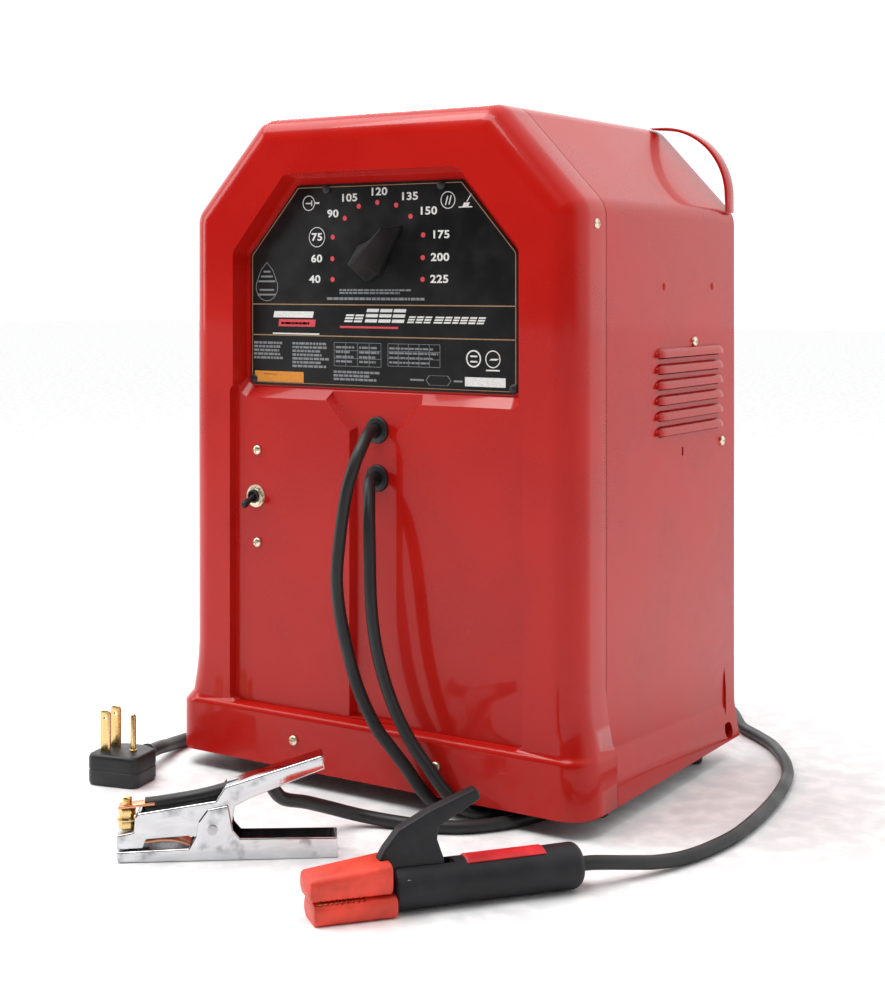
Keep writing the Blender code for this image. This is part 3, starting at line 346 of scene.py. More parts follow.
def skinned(rings, capped=True):   # each ring is the last one extruded and moved
    shape = bmesh.new()
    verts = [shape.verts.new(point) for point in rings[0]]
    edges = [shape.edges.new(pair) for pair in zip(verts, verts[1:] + verts[:1])]
    first = verts
    for ring in rings[1:]:
        grown = bmesh.ops.extrude_edge_only(shape, edges=edges)["geom"]
        found = {g.co.to_tuple(7): g for g in grown if isinstance(g, bmesh.types.BMVert)}
        edges = [g for g in grown if isinstance(g, bmesh.types.BMEdge)]
        verts = [found[vert.co.to_tuple(7)] for vert in verts]
        for vert, point in zip(verts, ring):
            vert.co = point
    if capped:
        shape.faces.new(first)
        shape.faces.new(verts)
    bmesh.ops.recalc_face_normals(shape, faces=shape.faces)
    return shape


def softened(shape, width, steps=3, least=25, keep=lambda edge: True):   # rounds the edges sharper than least degrees
    bmesh.ops.recalc_face_normals(shape, faces=shape.faces)
    edges = [e for e in shape.edges
             if len(e.link_faces) == 2 and e.calc_face_angle(0) > math.radians(least) and keep(e)]
    bmesh.ops.bevel(shape, geom=edges, offset=width, affect="EDGES", segments=steps, profile=0.5, material=-1,
                    clamp_overlap=True)
    return shape


def block(low, high):
    shape = bmesh.new()
    bmesh.ops.create_cube(shape, size=1)
    low, high = Vector(low), Vector(high)
    bmesh.ops.scale(shape, verts=shape.verts, vec=high - low)
    bmesh.ops.translate(shape, verts=shape.verts, vec=(low + high) / 2)
    return shape


def joined(*shapes):
    whole = bmesh.new()
    for shape in shapes:
        part = bpy.data.meshes.new("part")
        shape.to_mesh(part)
        shape.free()
        whole.from_mesh(part)
        bpy.data.meshes.remove(part)
    return whole


def carved(shape, *cutters):   # the shape less its cutters, as a new bmesh
    mesh = bpy.data.meshes.new("carvedBody")
    shape.to_mesh(mesh)
    shape.free()
    body = added("carvedBody", mesh)
    helpers = []
    for cutter in cutters:
        bmesh.ops.recalc_face_normals(cutter, faces=cutter.faces)
        tool = added("carver", bpy.data.meshes.new("carver"))
        cutter.to_mesh(tool.data)
        cutter.free()
        step = body.modifiers.new("carve", "BOOLEAN")
        step.object, step.operation, step.solver = tool, "DIFFERENCE", "EXACT"
        helpers.append(tool)
    return baked(body, *helpers)


def standing(place, axis):   # matrix that takes +Z at the origin to this place and axis
    return Matrix.Translation(place) @ Vector(axis).to_track_quat("Z", "Y").to_matrix().to_4x4()


def smoothPath(points, spacing):   # even points on a smooth curve through the route's own points
    knots = [Vector(p) for p in points]
    knots = [2 * knots[0] - knots[1]] + knots + [2 * knots[-1] - knots[-2]]
    fine = []
    for a, b, c, d in zip(knots, knots[1:], knots[2:], knots[3:]):
        for k in range(24):
            t = k / 24
            fine.append((a * (-t + 2 * t**2 - t**3) + b * (2 - 5 * t**2 + 3 * t**3)
                         + c * (t + 4 * t**2 - 3 * t**3) + d * (t**3 - t**2)) / 2)
    fine.append(knots[-2])
    along = [0.0]
    for a, b in zip(fine, fine[1:]):
        along.append(along[-1] + (b - a).length)
    count = max(2, round(along[-1] / spacing))
    even, at = [], 0
    for k in range(count + 1):
        want = along[-1] * k / count
        while at < len(fine) - 2 and along[at + 1] < want:
            at += 1
        span = along[at + 1] - along[at]
        even.append(fine[at].lerp(fine[at + 1], (want - along[at]) / span if span else 0))
    return even


def pathLength(points):
    return sum((b - a).length for a, b in zip(points, points[1:]))


def tubed(path, diameter, sides=16):   # a round tube along a path, as a closed mesh
    curve = bpy.data.curves.new("tube", "CURVE")
    curve.dimensions, curve.bevel_depth, curve.bevel_resolution = "3D", diameter / 2, sides // 4
    curve.use_fill_caps = True
    spline = curve.splines.new("POLY")
    spline.points.add(len(path) - 1)
    for point, spot in zip(spline.points, path):
        point.co = (*spot, 1)
    return baked(added("tube", curve))


# ---- the three cords
cordFront = -0.1535   # y of the plane that the cords' depths are taken from
cords = {
    "electrodeLead": {
        "front": [
            (0, 20, 325), (0, 6, 325), (2.5, -4, 322), (4.5, -15, 312.5), (3.5, -25, 297), (-1, -32, 268),
            (-5, -38, 212),
            (-4, -38, 181), (2, -36, 147), (12, -32, 108), (27, -27, 75), (42, -23, 56), (55, -18, 39), (65, -14, 24),
            (73, -7, 12), (80, 3, 6.5), (88, 18, 5.5), (93, 40, 5.5), (90, 66, 5.5), (75, 98, 5.5), (35, 145, 5.5),
            (-30, 210, 5.5), (-95, 280, 5.5), (-128, 325, 5.5), (-139, 360, 5.5), (-140.5, 389.9, 5.5)],
        "coil": (-75, 430, 60, 180, 1170),   # middle x and depth, radius, first angle, turned angle
        "rear": [
            (-34.9, 495.5, 16.5), (-8, 496, 13), (25, 497, 7), (62, 497, 5.5), (98, 490, 5.5), (132, 469, 5.5),
            (158, 438, 5.5), (176, 409, 5.5), (193, 384, 5.5), (220, 361, 5.5), (248, 332, 5.5), (278, 284, 5.5),
            (297, 235, 5.5), (312, 161, 5.5), (319, 80, 5.5), (315, 30, 5.5), (307, -4, 6), (297, -31, 8.5),
            (287, -51, 12), (276, -70, 15.5), (267.6, -81.9, 17.2), (261.9, -89.3, 17.3)],
        "diameter": 11,
    },
    "workLead": {
        "front": [
            (0, 20, 282), (0, 6, 282), (4, -3, 279), (10, -11.5, 269), (16, -20, 249), (21, -26, 221), (25, -30, 183),
            (29.5, -30, 149), (36.5, -28, 119), (47, -25, 90), (60, -21, 65), (76, -18, 44), (90, -14, 26),
            (102, -7, 12),
            (114, 4, 6), (126, 22, 5.5), (133, 50, 5.5), (130, 90, 5.5), (112, 145, 5.5), (75, 215, 5.5),
            (35, 285, 5.5), (14, 335, 5.5), (9.5, 369.9, 5.5)],
        "coil": (75, 410, 60, 180, 900),
        "rear": [
            (129.5, 355.9, 16.5), (130, 330, 14), (131, 295, 8), (136, 255, 5.5), (148, 200, 5.5), (160, 145, 5.5),
            (166, 90, 5.5), (162, 40, 5.5), (148, 0, 5.5), (124, -32, 5.5), (94, -48, 5.5), (64, -55, 6), (39, -67, 10),
            (25, -89, 19.5), (20, -115, 30), (15, -140, 39)],
        "diameter": 11,
    },
    "powerCord": {
        "front": [
            (-165, 302, 56), (-165, 318, 56), (-165, 333.4, 56), (-165, 342, 55.8), (-166.5, 356, 54), (-171, 374, 49),
            (-184, 395, 40), (-207, 407, 27), (-233, 404, 15), (-254, 387, 8), (-264, 364, 6.5), (-265.5, 347, 6.5)],
        "coil": (-342, 300, 70, 0, 1080),
        "rear": [
            (-265.5, 253, 19.5), (-262, 228, 15), (-256, 200, 8), (-249, 170, 6.5), (-243, 135, 6.5), (-241, 100, 6.5),
            (-245, 70, 6.5), (-249, 46, 6.5), (-247, 26, 7.5), (-241, 6, 10), (-235, -10, 13), (-231.7, -23.2, 14),
            (-229.5, -32.5, 14)],
        "diameter": 13,
    },
}
holderPlace = Matrix.Translation((0.131, cordFront - 0.260, 0)) @ Matrix.Rotation(math.radians(52.5), 4, "Z")
clampPlace = Matrix.Translation((-0.076, cordFront - 0.234, 0)) @ Matrix.Rotation(math.radians(37.5), 4, "Z")
plugPlace = Matrix.Translation((-0.219, cordFront - 0.078, 0)) @ Matrix.Rotation(math.radians(13), 4, "Z")


def coilTurns(middleX, middleDepth, radius, first, turned, diameter):
    slots = [(0.5, 0.5), (-0.5, 0.5), (-0.5, 1.5), (0.5, 1.5)]   # outer low, inner low, inner high, outer high
    points = []
    for step in range(int(turned / 5) + 1):
        angle = step * 5
        reach = rise = 0
        for slot, (out, up) in enumerate(slots):
            share = 1.0
            if slot:
                share = min(max((angle - 285 - 315 * (slot - 1)) / 45, 0), 1)
                share = share * share * (3 - 2 * share)
            reach, rise = reach + (out - reach) * share, rise + (up - rise) * share
        t = math.radians(first - angle)
        r = radius + reach * diameter
        points.append((middleX + r * math.cos(t), middleDepth + r * math.sin(t), rise * diameter))
    return points


def layCords():
    made = {}
    for name, cord in cords.items():
        size = cord["diameter"] * mm
        route = cord["front"] + coilTurns(*cord["coil"], cord["diameter"]) + cord["rear"]
        points = [Vector((x, depth, z)) * mm + Vector((0, cordFront, 0)) for x, depth, z in route]
        if name == "electrodeLead":   # runs on inside the holder's barrel to the jaws
            points += [holderPlace @ Vector((s * mm, 0, 17.3 * mm)) for s in (200, 180, 150, 125, 112)]
        if name == "workLead":   # runs up the clamp's handle to the bolt
            points += [clampPlace @ Vector((s * mm, 0, z * mm))
                       for s, z in ((118, 58), (104, 57), (90, 54), (70, 49), (48, 45.4), (30, 43), (22, 42.4))]
        path = smoothPath(points, 0.004)
        for spot in path:
            spot.z = max(spot.z, size / 2)
        made[name] = (path, size)
        print(f"{name}: {pathLength(path):.3f} m")
    return made


cordPaths = layCords()
setCamera()
setLights()
bpy.context.scene.view_settings.view_transform = "Standard"


# ---- floor
def layFloor():
    shape = bmesh.new()
    bmesh.ops.create_grid(shape, x_segments=4, y_segments=4, size=14)
    piece("studioFloor", shape, "floor", body=None)


layFloor()


# ---- sheet-metal case
case = {"half": 0.210, "top": 0.610, "shoulder": 0.522, "roofHalf": 0.128, "seam": 0.052, "rear": 0.320,
        "ground": 0.016,
        "frontRound": 0.025, "cornerRound": 0.024, "sheet": 0.0016, "flare": 0.011, "ledgeProud": 0.007,
        "ledge": (0.060, 0.068), "groove": 0.0006}


def sideFlare(depth):   # (height, how far out) of the skirt's knots, top to bottom, at a depth
    full = case["flare"]
    if depth <= case["seam"]:
        low, high = case["ledge"]
        return [(0.115, 0), (0.100, 0.1 * full), (0.086, 0.28 * full), (high, 0.6 * full), (low, full), (0.038, full)]
    t = (depth - case["seam"]) / (case["rear"] - case["seam"])
    full = full * (1 - 0.5 * t)
    high, low = 0.062 - 0.012 * t, 0.046 - 0.018 * t
    return [(0.115, 0), (0.100, 0), (high + 0.001, 0), (high - 0.003, 0.08 * full), (low, 0.62 * full),
            (low - 0.010, full)]


def cornerArc(before, corner, after, radius, steps=7):   # a rounded corner of an outline
    first, last = (Vector(before) - Vector(corner)).normalized(), (Vector(after) - Vector(corner)).normalized()
    half = first.angle(last) / 2
    middle = Vector(corner) + (first + last).normalized() * (radius / math.sin(half))
    start = Vector(corner) + first * (radius / math.tan(half)) - middle
    end = Vector(corner) + last * (radius / math.tan(half)) - middle
    sweep = start.angle_signed(end)
    return [tuple(middle + Matrix.Rotation(-sweep * k / steps, 2) @ start) for k in range(steps + 1)]


def caseSection(depth, inset):   # (x, z) round the case from the right foot over the roof to the left foot
    half, top = case["half"] - inset, case["top"] - inset
    run, rise = case["half"] - case["roofHalf"], case["top"] - case["shoulder"]
    slope = math.hypot(run, rise)
    level = (rise * case["half"] + run * case["shoulder"]) / slope - inset
    lowCorner = (half, (level - rise / slope * half) * slope / run)
    highCorner = ((level - run / slope * top) * slope / rise, top)
    knots = sideFlare(depth)
    right = [(half + knots[-1][1], case["ground"])] + [(half + out, z) for z, out in reversed(knots)]
    ends = [(half, 0.115), lowCorner, highCorner, (0, top)]
    radius = max(case["cornerRound"] - inset, 0.003)
    for a, b, c in zip(ends, ends[1:], ends[2:]):
        right += cornerArc(a, b, c, radius)
    return right + [(0, top)] + [(-x, z) for x, z in reversed(right)]


def caseShell(start, end):   # the outer form between two depths, its front edge rounded at depth 0
    rings, steps = [], 8
    if start < case["frontRound"]:
        for k in range(steps + 1):
            t = math.pi / 2 * k / steps
            inset, depth = case["frontRound"] * (1 - math.sin(t)), case["frontRound"] * (1 - math.cos(t))
            rings.append((max(depth, start), inset))
    else:
        rings.append((start, 0))
    rings.append((end, 0))
    return skinned([[(x, frontY + depth, z) for x, z in caseSection(depth, inset)] for depth, inset in rings])


def pressing(outer, inner, depth):   # cutter with sloping walls: outline at the face, outline at the floor
    reach = 0.010
    beyond = [(2 * a[0] - b[0], 2 * a[1] - b[1]) for a, b in zip(outer, inner)]
    wide = [tuple(Vector(a) + (Vector(c) - Vector(a)) * reach / depth) for a, c in zip(outer, beyond)]
    return skinned([[(x, frontY - reach, z) for x, z in wide], [(x, frontY + depth, z) for x, z in inner]])


def roundedOutline(corners, radius, steps=5):
    count = len(corners)
    return [point for k in range(count)
            for point in cornerArc(corners[k - 1], corners[k], corners[(k + 1) % count], radius, steps)]


plateOutline = [(-0.146, 0.3616), (0.146, 0.3616), (0.146, 0.482), (0.090, 0.546), (-0.090, 0.546), (-0.146, 0.482)]
recess = {"depth": 0.0165, "half": 0.151, "pads": 0.0075, "padsHalf": 0.157, "padsTop": 0.352, "padsLow": 0.066,
          "channel": 0.015, "channelHalf": 0.022, "lip": 0.0032, "lean": 0.004}


def plateRecess(grow):
    side, top, low = recess["half"] + grow, 0.5525 + grow, 0.3600 - grow * 4.6
    return roundedOutline([(-side, low), (side, low),
                           (side, 0.4845 + grow * 0.4), (0.0925 + grow * 0.4, top), (-0.0925 - grow * 0.4, top),
                           (-side, 0.4845 + grow * 0.4)], 0.011)


def padRecess(grow):
    side = recess["padsHalf"] + grow
    return roundedOutline([(-side, recess["padsLow"] - grow * 0.4), (side, recess["padsLow"] - grow * 0.4),
                           (side, 0.362), (-side, 0.362)], 0.007)


def channelRecess(grow):
    half, top = recess["channelHalf"] + grow, recess["padsTop"] - grow
    return [(-half, recess["padsLow"] + 0.002), (half, recess["padsLow"] + 0.002), (half, top - 0.025),
            (half + 0.027, top + 0.002),
            (half + 0.027, top + 0.008), (-half - 0.027, top + 0.008), (-half - 0.027, top + 0.002),
            (-half, top - 0.025)]


leadHole = {"electrode": 0.325, "work": 0.282, "radius": 0.0092, "depth": 0.015}   # heights of the two holes
glandPlace = (-0.165, frontY + 0.2976, 0.056)   # where the power cord leaves the rear panel


def weighted(obj):   # flat sheet keeps flat shading up to its rounded edges
    step = obj.modifiers.new("evenShade", "WEIGHTED_NORMAL")
    step.keep_sharp, step.weight = True, 100
    return obj


def thinned(obj, thickness):
    step = obj.modifiers.new("sheet", "SOLIDIFY")
    step.thickness, step.offset, step.use_even_offset = thickness, -1, False
    return obj


def openEnds(shape, planes):   # takes away the faces that lie in these planes, (axis, value)
    gone = [f for f in shape.faces if any(all(abs(v.co["xyz".index(axis)] - value) < 2e-5 for v in f.verts)
                                          for axis, value in planes)]
    bmesh.ops.delete(shape, geom=gone, context="FACES")


def pressFrontCover():
    shape = caseShell(0, case["seam"] - case["groove"])
    low, high = case["ledge"]
    for height in (low, high, 0.064):
        bmesh.ops.bisect_plane(shape, geom=shape.verts[:] + shape.edges[:] + shape.faces[:], plane_co=(0, 0, height),
                               plane_no=(0, 0, 1), dist=1e-7)
    for vert in shape.verts:   # the skirt stands proud of the face above it
        depth = vert.co.y - frontY
        drop = min(max((high - vert.co.z) / (high - low), 0), 1)
        vert.co.y -= case["ledgeProud"] * drop * max(0, 1 - depth / case["seam"])
    lean = recess["lean"]
    shape = carved(shape, pressing(padRecess(lean * 0.4), padRecess(0), recess["pads"]),
                   pressing(plateRecess(lean), plateRecess(0), recess["depth"]),
                   pressing(channelRecess(lean * 1.8), channelRecess(0), recess["channel"]))
    openEnds(shape, [("y", frontY + case["seam"] - case["groove"]), ("z", case["ground"])])

    def isLip(edge):
        y = (edge.verts[0].co.y + edge.verts[1].co.y) / 2 - frontY
        x = max(abs(v.co.x) for v in edge.verts)
        z = [v.co.z for v in edge.verts]
        return -0.0005 < y < 0.0170 and x < 0.168 and min(z) > 0.0635
    shape = softened(shape, recess["lip"], 4, 24, isLip)
    radius = leadHole["radius"]
    for height in (leadHole["electrode"], leadHole["work"]):
        shape = carved(shape, spunAt([(0, 0.03), (radius, 0.03), (radius, -0.03), (0, -0.03)], (0, height), 32))
    return weighted(thinned(piece("frontCover", shape, "red_enamel", stands=("front_cover",), crease=50),
                            case["sheet"]))


def spunAt(profile, place, steps=40):   # a turned shape with its axis along y through (x, z)
    shape = spun(profile, steps)
    placed(shape, standing((place[0], frontY, place[1]), (0, -1, 0)))
    return shape


def bendWrap():
    start = case["seam"] + case["groove"]
    shape = caseShell(start, case["rear"])
    cutters = []
    for side in (-1, 1):
        for k in range(louvre["count"]):
            z = louvre["low"] + k * louvre["pitch"]
            x = side * case["half"]
            cutters.append(block((x - 0.02, frontY + louvre["first"] + 0.006, z),
                                 (x + 0.02, frontY + louvre["last"] - 0.006,
                                                                                  z + 0.0065)))
        cutters.append(block((x - 0.02, frontY + 0.201, 0.298), (x + 0.02, frontY + 0.204, 0.306)))
        axle = roundedOutline([(0.288, 0.0185), (0.306, 0.0185), (0.306, 0.033), (0.288, 0.033)], 0.0068, 6)
        cutters.append(skinned([[(side * (case["half"] + out), frontY + y, z) for y, z in axle] for out in (-0.02,
                                                                                                            0.02)]))
    shape = carved(shape, *cutters)
    openEnds(shape, [("y", frontY + start), ("y", frontY + case["rear"]), ("z", case["ground"])])
    return weighted(thinned(piece("caseWrap", shape, "red_enamel", stands=("wrap_cover",), crease=24), case["sheet"]))


louvre = {"count": 6, "pitch": 0.014, "low": 0.318, "first": 0.146, "last": 0.288, "out": 0.0058, "high": 0.0085,
          "sheet": 0.0012}


def pressLouvres():
    hoods = []
    for side in (-1, 1):
        for k in range(louvre["count"]):
            base = louvre["low"] + k * louvre["pitch"] + 0.0015
            length = louvre["last"] - louvre["first"]
            rings = []
            for step in range(25):
                t = -1 + 2 * step / 24
                y = 0.5 * length * math.sin(t * math.pi / 2)
                end = min(1.0, (0.5 * length - abs(y)) / 0.009)
                size = max(0.06, math.sqrt(1 - (1 - end) ** 2))
                ring = []
                for inner in (0, 1):
                    for bend in range(9):
                        a = math.radians(90 * (bend if not inner else 8 - bend) / 8)
                        out = (louvre["out"] - inner * louvre["sheet"]) * size * math.sin(a) - 0.0004
                        rise = (louvre["high"] - inner * louvre["sheet"]) * size * math.cos(a)
                        ring.append((side * (case["half"] + out), frontY + louvre["first"] + length / 2 + y,
                                     base + rise))
                rings.append(ring)
            hoods.append(skinned(rings))
    return piece("louvreHoods", joined(*hoods), "red_enamel", crease=40)


strap = {"front": 0.303, "rear": 0.320, "bend": 0.070, "thick": 0.003, "start": 0.126, "edge": 0.0009}


def bendStraps():
    bendX, bendZ = case["half"] - strap["bend"], case["top"] - strap["bend"]
    for name, side in (("liftStrapLeft", -1), ("liftStrapRight", 1)):
        outer = [(strap["start"], case["top"])] + arc(bendX, bendZ, strap["bend"], 90, 0, 20) + [(case["half"], 0.524)]
        inner = [(strap["start"] + 0.004, case["top"] - 0.0018)]
        inner += arc(bendX, bendZ, strap["bend"] - strap["thick"], 84, 0, 20) + [(case["half"] - 0.0022, 0.526)]
        outline = [(side * x, z) for x, z in outer + inner[::-1]]
        shape = softened(pushed(outline, frontY + strap["front"], frontY + strap["rear"]), strap["edge"], 2, 60)
        piece(name, shape, "red_enamel", stands=("lift_handle_left" if side < 0 else "lift_handle_right",), crease=45)


pressFrontCover()
bendWrap()
pressLouvres()
bendStraps()
print("case bent")


# ---- nameplate and its print
plate = {"face": 0.0150, "thick": 0.0012, "ink": 0.00012, "margin": 0.0022}
dial = {"middle": 0.4827, "dot": 0.0023,
        "digits": 0.0069, "body": 1.38, "bold": 0.035, "spacing": 1.06, "wide": 1.30,
        "marks": [("40", -49.8, 459.5, -70), ("60", -50, 478.3, -68), ("75", -49.6, 498, -67.6),
                  ("90", -36, 514.8, -49.5),
                  ("105", -20.4, 525.3, -31.4), ("120", 0, 528.2, 1.2), ("135", 20.4, 525.3, 34.4),
                  ("150", 35.8, 515, 54.2),
                  ("175", 49.2, 498.4, 67.4), ("200", 48.8, 478.6, 66.8), ("225", 48.6, 459.5, 66.2)],
        "heights": {"90": 519, "105": 533, "120": 537.6, "135": 532.6, "150": 519.3}}
inkY = frontY + plate["face"]


def bar(x, z, wide, high, slant=0.0):   # a printed bar, lower left corner first
    outline = [(x, z), (x + wide, z), (x + wide + slant, z + high), (x + slant, z + high)]
    return pushed([(a * mm, b * mm) for a, b in outline], inkY - plate["ink"], inkY + 0.00004)


def loop(points, width):   # a printed line round a closed outline
    inner = [Vector(p) for p in points]
    middle = sum(inner, Vector((0, 0))) / len(inner)
    rings = []
    near, far = inkY - plate["ink"], inkY + 0.00004
    for y, grow in ((near, 0), (near, width), (far, width), (far, 0)):
        rings.append([(p.x * mm, y, p.y * mm) for p in
                      (middle + (q - middle) * (1 - grow / max((q - middle).length, 0.1)) for q in inner)])
    shape = skinned(rings, capped=False)
    rims = [e for e in shape.edges if e.is_boundary]
    bmesh.ops.bridge_loops(shape, edges=rims)
    return shape


def ringInk(x, z, radius, width):
    return loop([(x + a, z + b) for a, b in arc(0, 0, radius, 0, 345, 23)], width)


def discInk(x, z, radius):
    return pushed([((x + a) * mm, (z + b) * mm) for a, b in arc(0, 0, radius, 0, 340, 17)], inkY - plate["ink"],
                  inkY + 0.00004)


def digits(text, x, z, high):   # numbers as a mesh, centred on a place
    line = bpy.data.curves.new("digits", "FONT")
    line.body, line.size, line.align_x, line.align_y = text, high * dial["body"], "CENTER", "CENTER"
    line.extrude, line.offset, line.space_character = plate["ink"], high * dial["bold"], dial["spacing"]
    turn = Matrix.Rotation(math.radians(90), 4, "X") @ Matrix.Diagonal((dial["wide"], 1, 1, 1))
    return placed(baked(added("digits", line)), Matrix.Translation((x * mm, inkY, z * mm)) @ turn)


def textRows(left, top, right, low, rows, dice, thick=0.62):   # ragged rows of short bars, as small print
    made, pitch = [], (top - low) / rows
    for row in range(rows):
        x, end = left, right - dice.random() * 0.25 * (right - left)
        while x < end - 1.2:
            wide = min(dice.uniform(2.2, 6.5), end - x)
            made.append(bar(x, top - (row + 0.8) * pitch, wide, pitch * thick))
            x += wide + 0.9
    return made


def gridInk(left, top, right, low, columns, rows):
    made = []
    for k in range(columns + 1):
        made.append(bar(left + (right - left) * k / columns - 0.2, low, 0.4, top - low))
    for k in range(rows + 1):
        made.append(bar(left, low + (top - low) * k / rows - 0.2, right - left, 0.4))
    return made


def printPlate():
    outline = roundedOutline(plateOutline, 0.005, 4)
    shape = softened(pushed(outline, frontY + plate["face"], frontY + plate["face"] + plate["thick"]), 0.0003, 2, 60)
    piece("overlayPlate", shape, "black_plate", stands=("nameplate",))
    dice = random.Random(4)
    edge = [((x - math.copysign(plate["margin"], x)) / mm, z / mm) for x, z in outline]
    edge = [(x, min(max(z, 363.8), 543.8)) for x, z in edge]
    tan = [loop(edge, 0.8), bar(-143.8, 436.2, 287.6, 0.9), bar(-143.8, 407.6, 287.6, 0.9)]
    pink, white, grey, orange = [], [], [], []
    for text, x, z, reach in dial["marks"]:
        pink.append(discInk(x, z, dial["dot"] / mm))
        white.append(digits(text, reach, dial["heights"].get(text, z), dial["digits"]))
    white.append(ringInk(-67.6, 498.2, 9.2, 0.6))
    white += [ringInk(-77, 529.4, 7.0, 0.7), bar(-80.5, 528.7, 7, 1.1), bar(-74.2, 526.8, 1.1, 5),
              bar(-69.6, 528.6, 4.6, 1.5)]
    white += [ringInk(75.1, 528.4, 7.6, 0.7), bar(72.0, 524, 1.2, 8, 2.2), bar(75.6, 524.4, 1.2, 8, 2.2),
              bar(86, 521.5, 14, 0.9), bar(90, 522.4, 6, 3.4, 1.6), bar(94, 526.5, 1.0, 6.5, 4.5)]
    drop = arc(-126.2, 452.5, 13.2, 150, 390, 14) + [(-119, 468.5), (-126.2, 475.9), (-133.4, 468.5)]
    grey += [loop(drop, 0.7)] + [bar(-126.2 - w / 2, z, w, 1.7) for w,
                                 z in ((8, 466), (14, 461.5), (20, 457), (17, 449), (22, 444.6))]
    grey += textRows(-42, 451.2, 41, 446.0, 2, dice) + textRows(-56, 444.0, 53, 440.2, 1, dice)
    x = -37
    for wide, high in ((9, 7), (9, 7), (0, 0), (13, 12.2), (13, 12.2), (13, 12.2), (0, 0), (7, 6), (7, 6), (7, 6),
                       (0, 0),
                       (9, 6), (7, 6), (6, 6), (7, 6), (7, 6), (7, 6)):
        if wide:
            white += [bar(x, 421.0, wide, high * 0.24, 0.9), bar(x + 1.0, 421 + high * 0.38, wide, high * 0.24, 0.9),
                      bar(x + 2, 421 + high * 0.76, wide, high * 0.24, 0.9)]
        x += wide + 1.7
    pink += [bar(-41.5, 415.6, 64, 1.9), bar(-112.5, 416.2, 42.5, 6.6, 1.0)]
    white += [bar(-118.5, 424.4, 46, 5.8, 1.4), bar(-119, 408.9, 54, 1.3)] + textRows(-109, 421.6, -72, 417.2, 1, dice,
                                                                                      0.5)
    grey += textRows(-141.5, 402.4, -103, 385, 5, dice) + textRows(-96, 402.4, -53.5, 378.1, 7, dice)
    grey += gridInk(-48.0, 402.4, 4.0, 381.2, 4, 3) + gridInk(11.6, 402.4, 66.8, 382.6, 5, 3)
    grey += textRows(-46, 400.6, -24, 383.6, 4, dice, 0.45) + textRows(-20, 400.6, 2.6, 383.6, 4, dice, 0.45)
    grey += textRows(13, 400.8, 66, 384.2, 4, dice, 0.4) + textRows(-48.6, 377.5, 4.0, 367.6, 3, dice)
    grey += [loop([(52, 371.4), (55.5, 375.6), (75, 375.6), (78.4, 371.4), (75, 367), (55.5, 367)], 0.6),
             bar(35.4, 370.4, 14.5, 1.6), bar(81, 370.4, 9, 1.6)]
    white += [ringInk(101.3, 391.2, 7.6, 1.3), bar(98, 388, 7, 1.4), bar(98, 392.6, 7, 1.4),
              ringInk(120.8, 391.2, 7.6, 0.9),
              bar(117, 390.2, 7.6, 1.5, 2.4), bar(114, 381.0, 13.6, 1.2), bar(92.6, 367.3, 40.8, 8.0)]
    orange += [bar(-140.5, 364.6, 57.5, 9.8)]
    grey += [bar(-129.5, 371.3, 15, 0.5)]
    piece("borderPrint", joined(*tan), "ink_tan")
    piece("dialDots", joined(*pink), "ink_pink")
    piece("whitePrint", joined(*white), "ink_white")
    piece("greyPrint", joined(*grey), "ink_grey")
    piece("orangePrint", joined(*orange), "ink_orange")
    studs = [spunAt([(0, 0.0022), (0.0028, 0.0018), (0.0042, 0.0006), (0.0042, 0.0)], (x * mm, z * mm), 20)
             for x, z in ((-57, 542), (68, 542), (-141.5, 366.4), (141.5, 366.4))]
    for stud in studs:
        moved(stud, 0, plate["face"], 0)
    piece("plateStuds", joined(*studs), "black_plastic")


printPlate()
print("nameplate printed")


# ---- selector knob, switch, screws and bushings
knob = {"angle": 48.0, "height": 0.0275, "skirt": 0.0045,
        "base": [(36.5, 0), (35.5, 1.6), (-9, 17.5), (-24, 13.5), (-27, 0)],
        "ridge": [(31, 0), (30, 0.6), (-9, 1.6), (-15, 1.2), (-16, 0)]}


def shapeKnob():
    turn = math.radians(knob["angle"])
    ahead, across = Vector((math.sin(turn), 0, math.cos(turn))), Vector((math.cos(turn), 0, -math.sin(turn)))
    start = Vector((0, inkY - 0.0006, dial["middle"]))
    rings = []
    for half, up, size in ((knob["base"], 0, 1.0), (knob["base"], knob["skirt"], 0.985),
                           (knob["ridge"], knob["height"], 1.0)):
        whole = half + [(u, -v) for u, v in reversed(half[1:-1])]
        rings.append([start + (ahead * u + across * v) * mm * size - Vector((0, up, 0)) for u, v in whole])
    shape = softened(skinned(rings), 0.0007, 3, 14)
    piece("selectorKnob", shape, "knob_black", "selector", ("selector_knob",), crease=18)


screw = {"radius": 0.0045, "slot": 0.0009, "reach": 0.62}


def screwHead(radius):   # a pan head on z = 0 with a cross cut in
    dome = [(0, 0.0033)] + [(radius * math.sin(math.radians(a)), 0.0012 + 0.0021 * math.cos(math.radians(a)))
                            for a in range(15, 91, 15)] + [(radius, 0.0), (radius * 0.4, 0.0), (0, 0.0)]
    width, reach = screw["slot"], radius * screw["reach"]
    return carved(spun(dome, 28), block((-reach, -width / 2, 0.0018), (reach, width / 2, 0.006)),
                  block((-width / 2, -reach, 0.0018), (width / 2, reach, 0.006)))


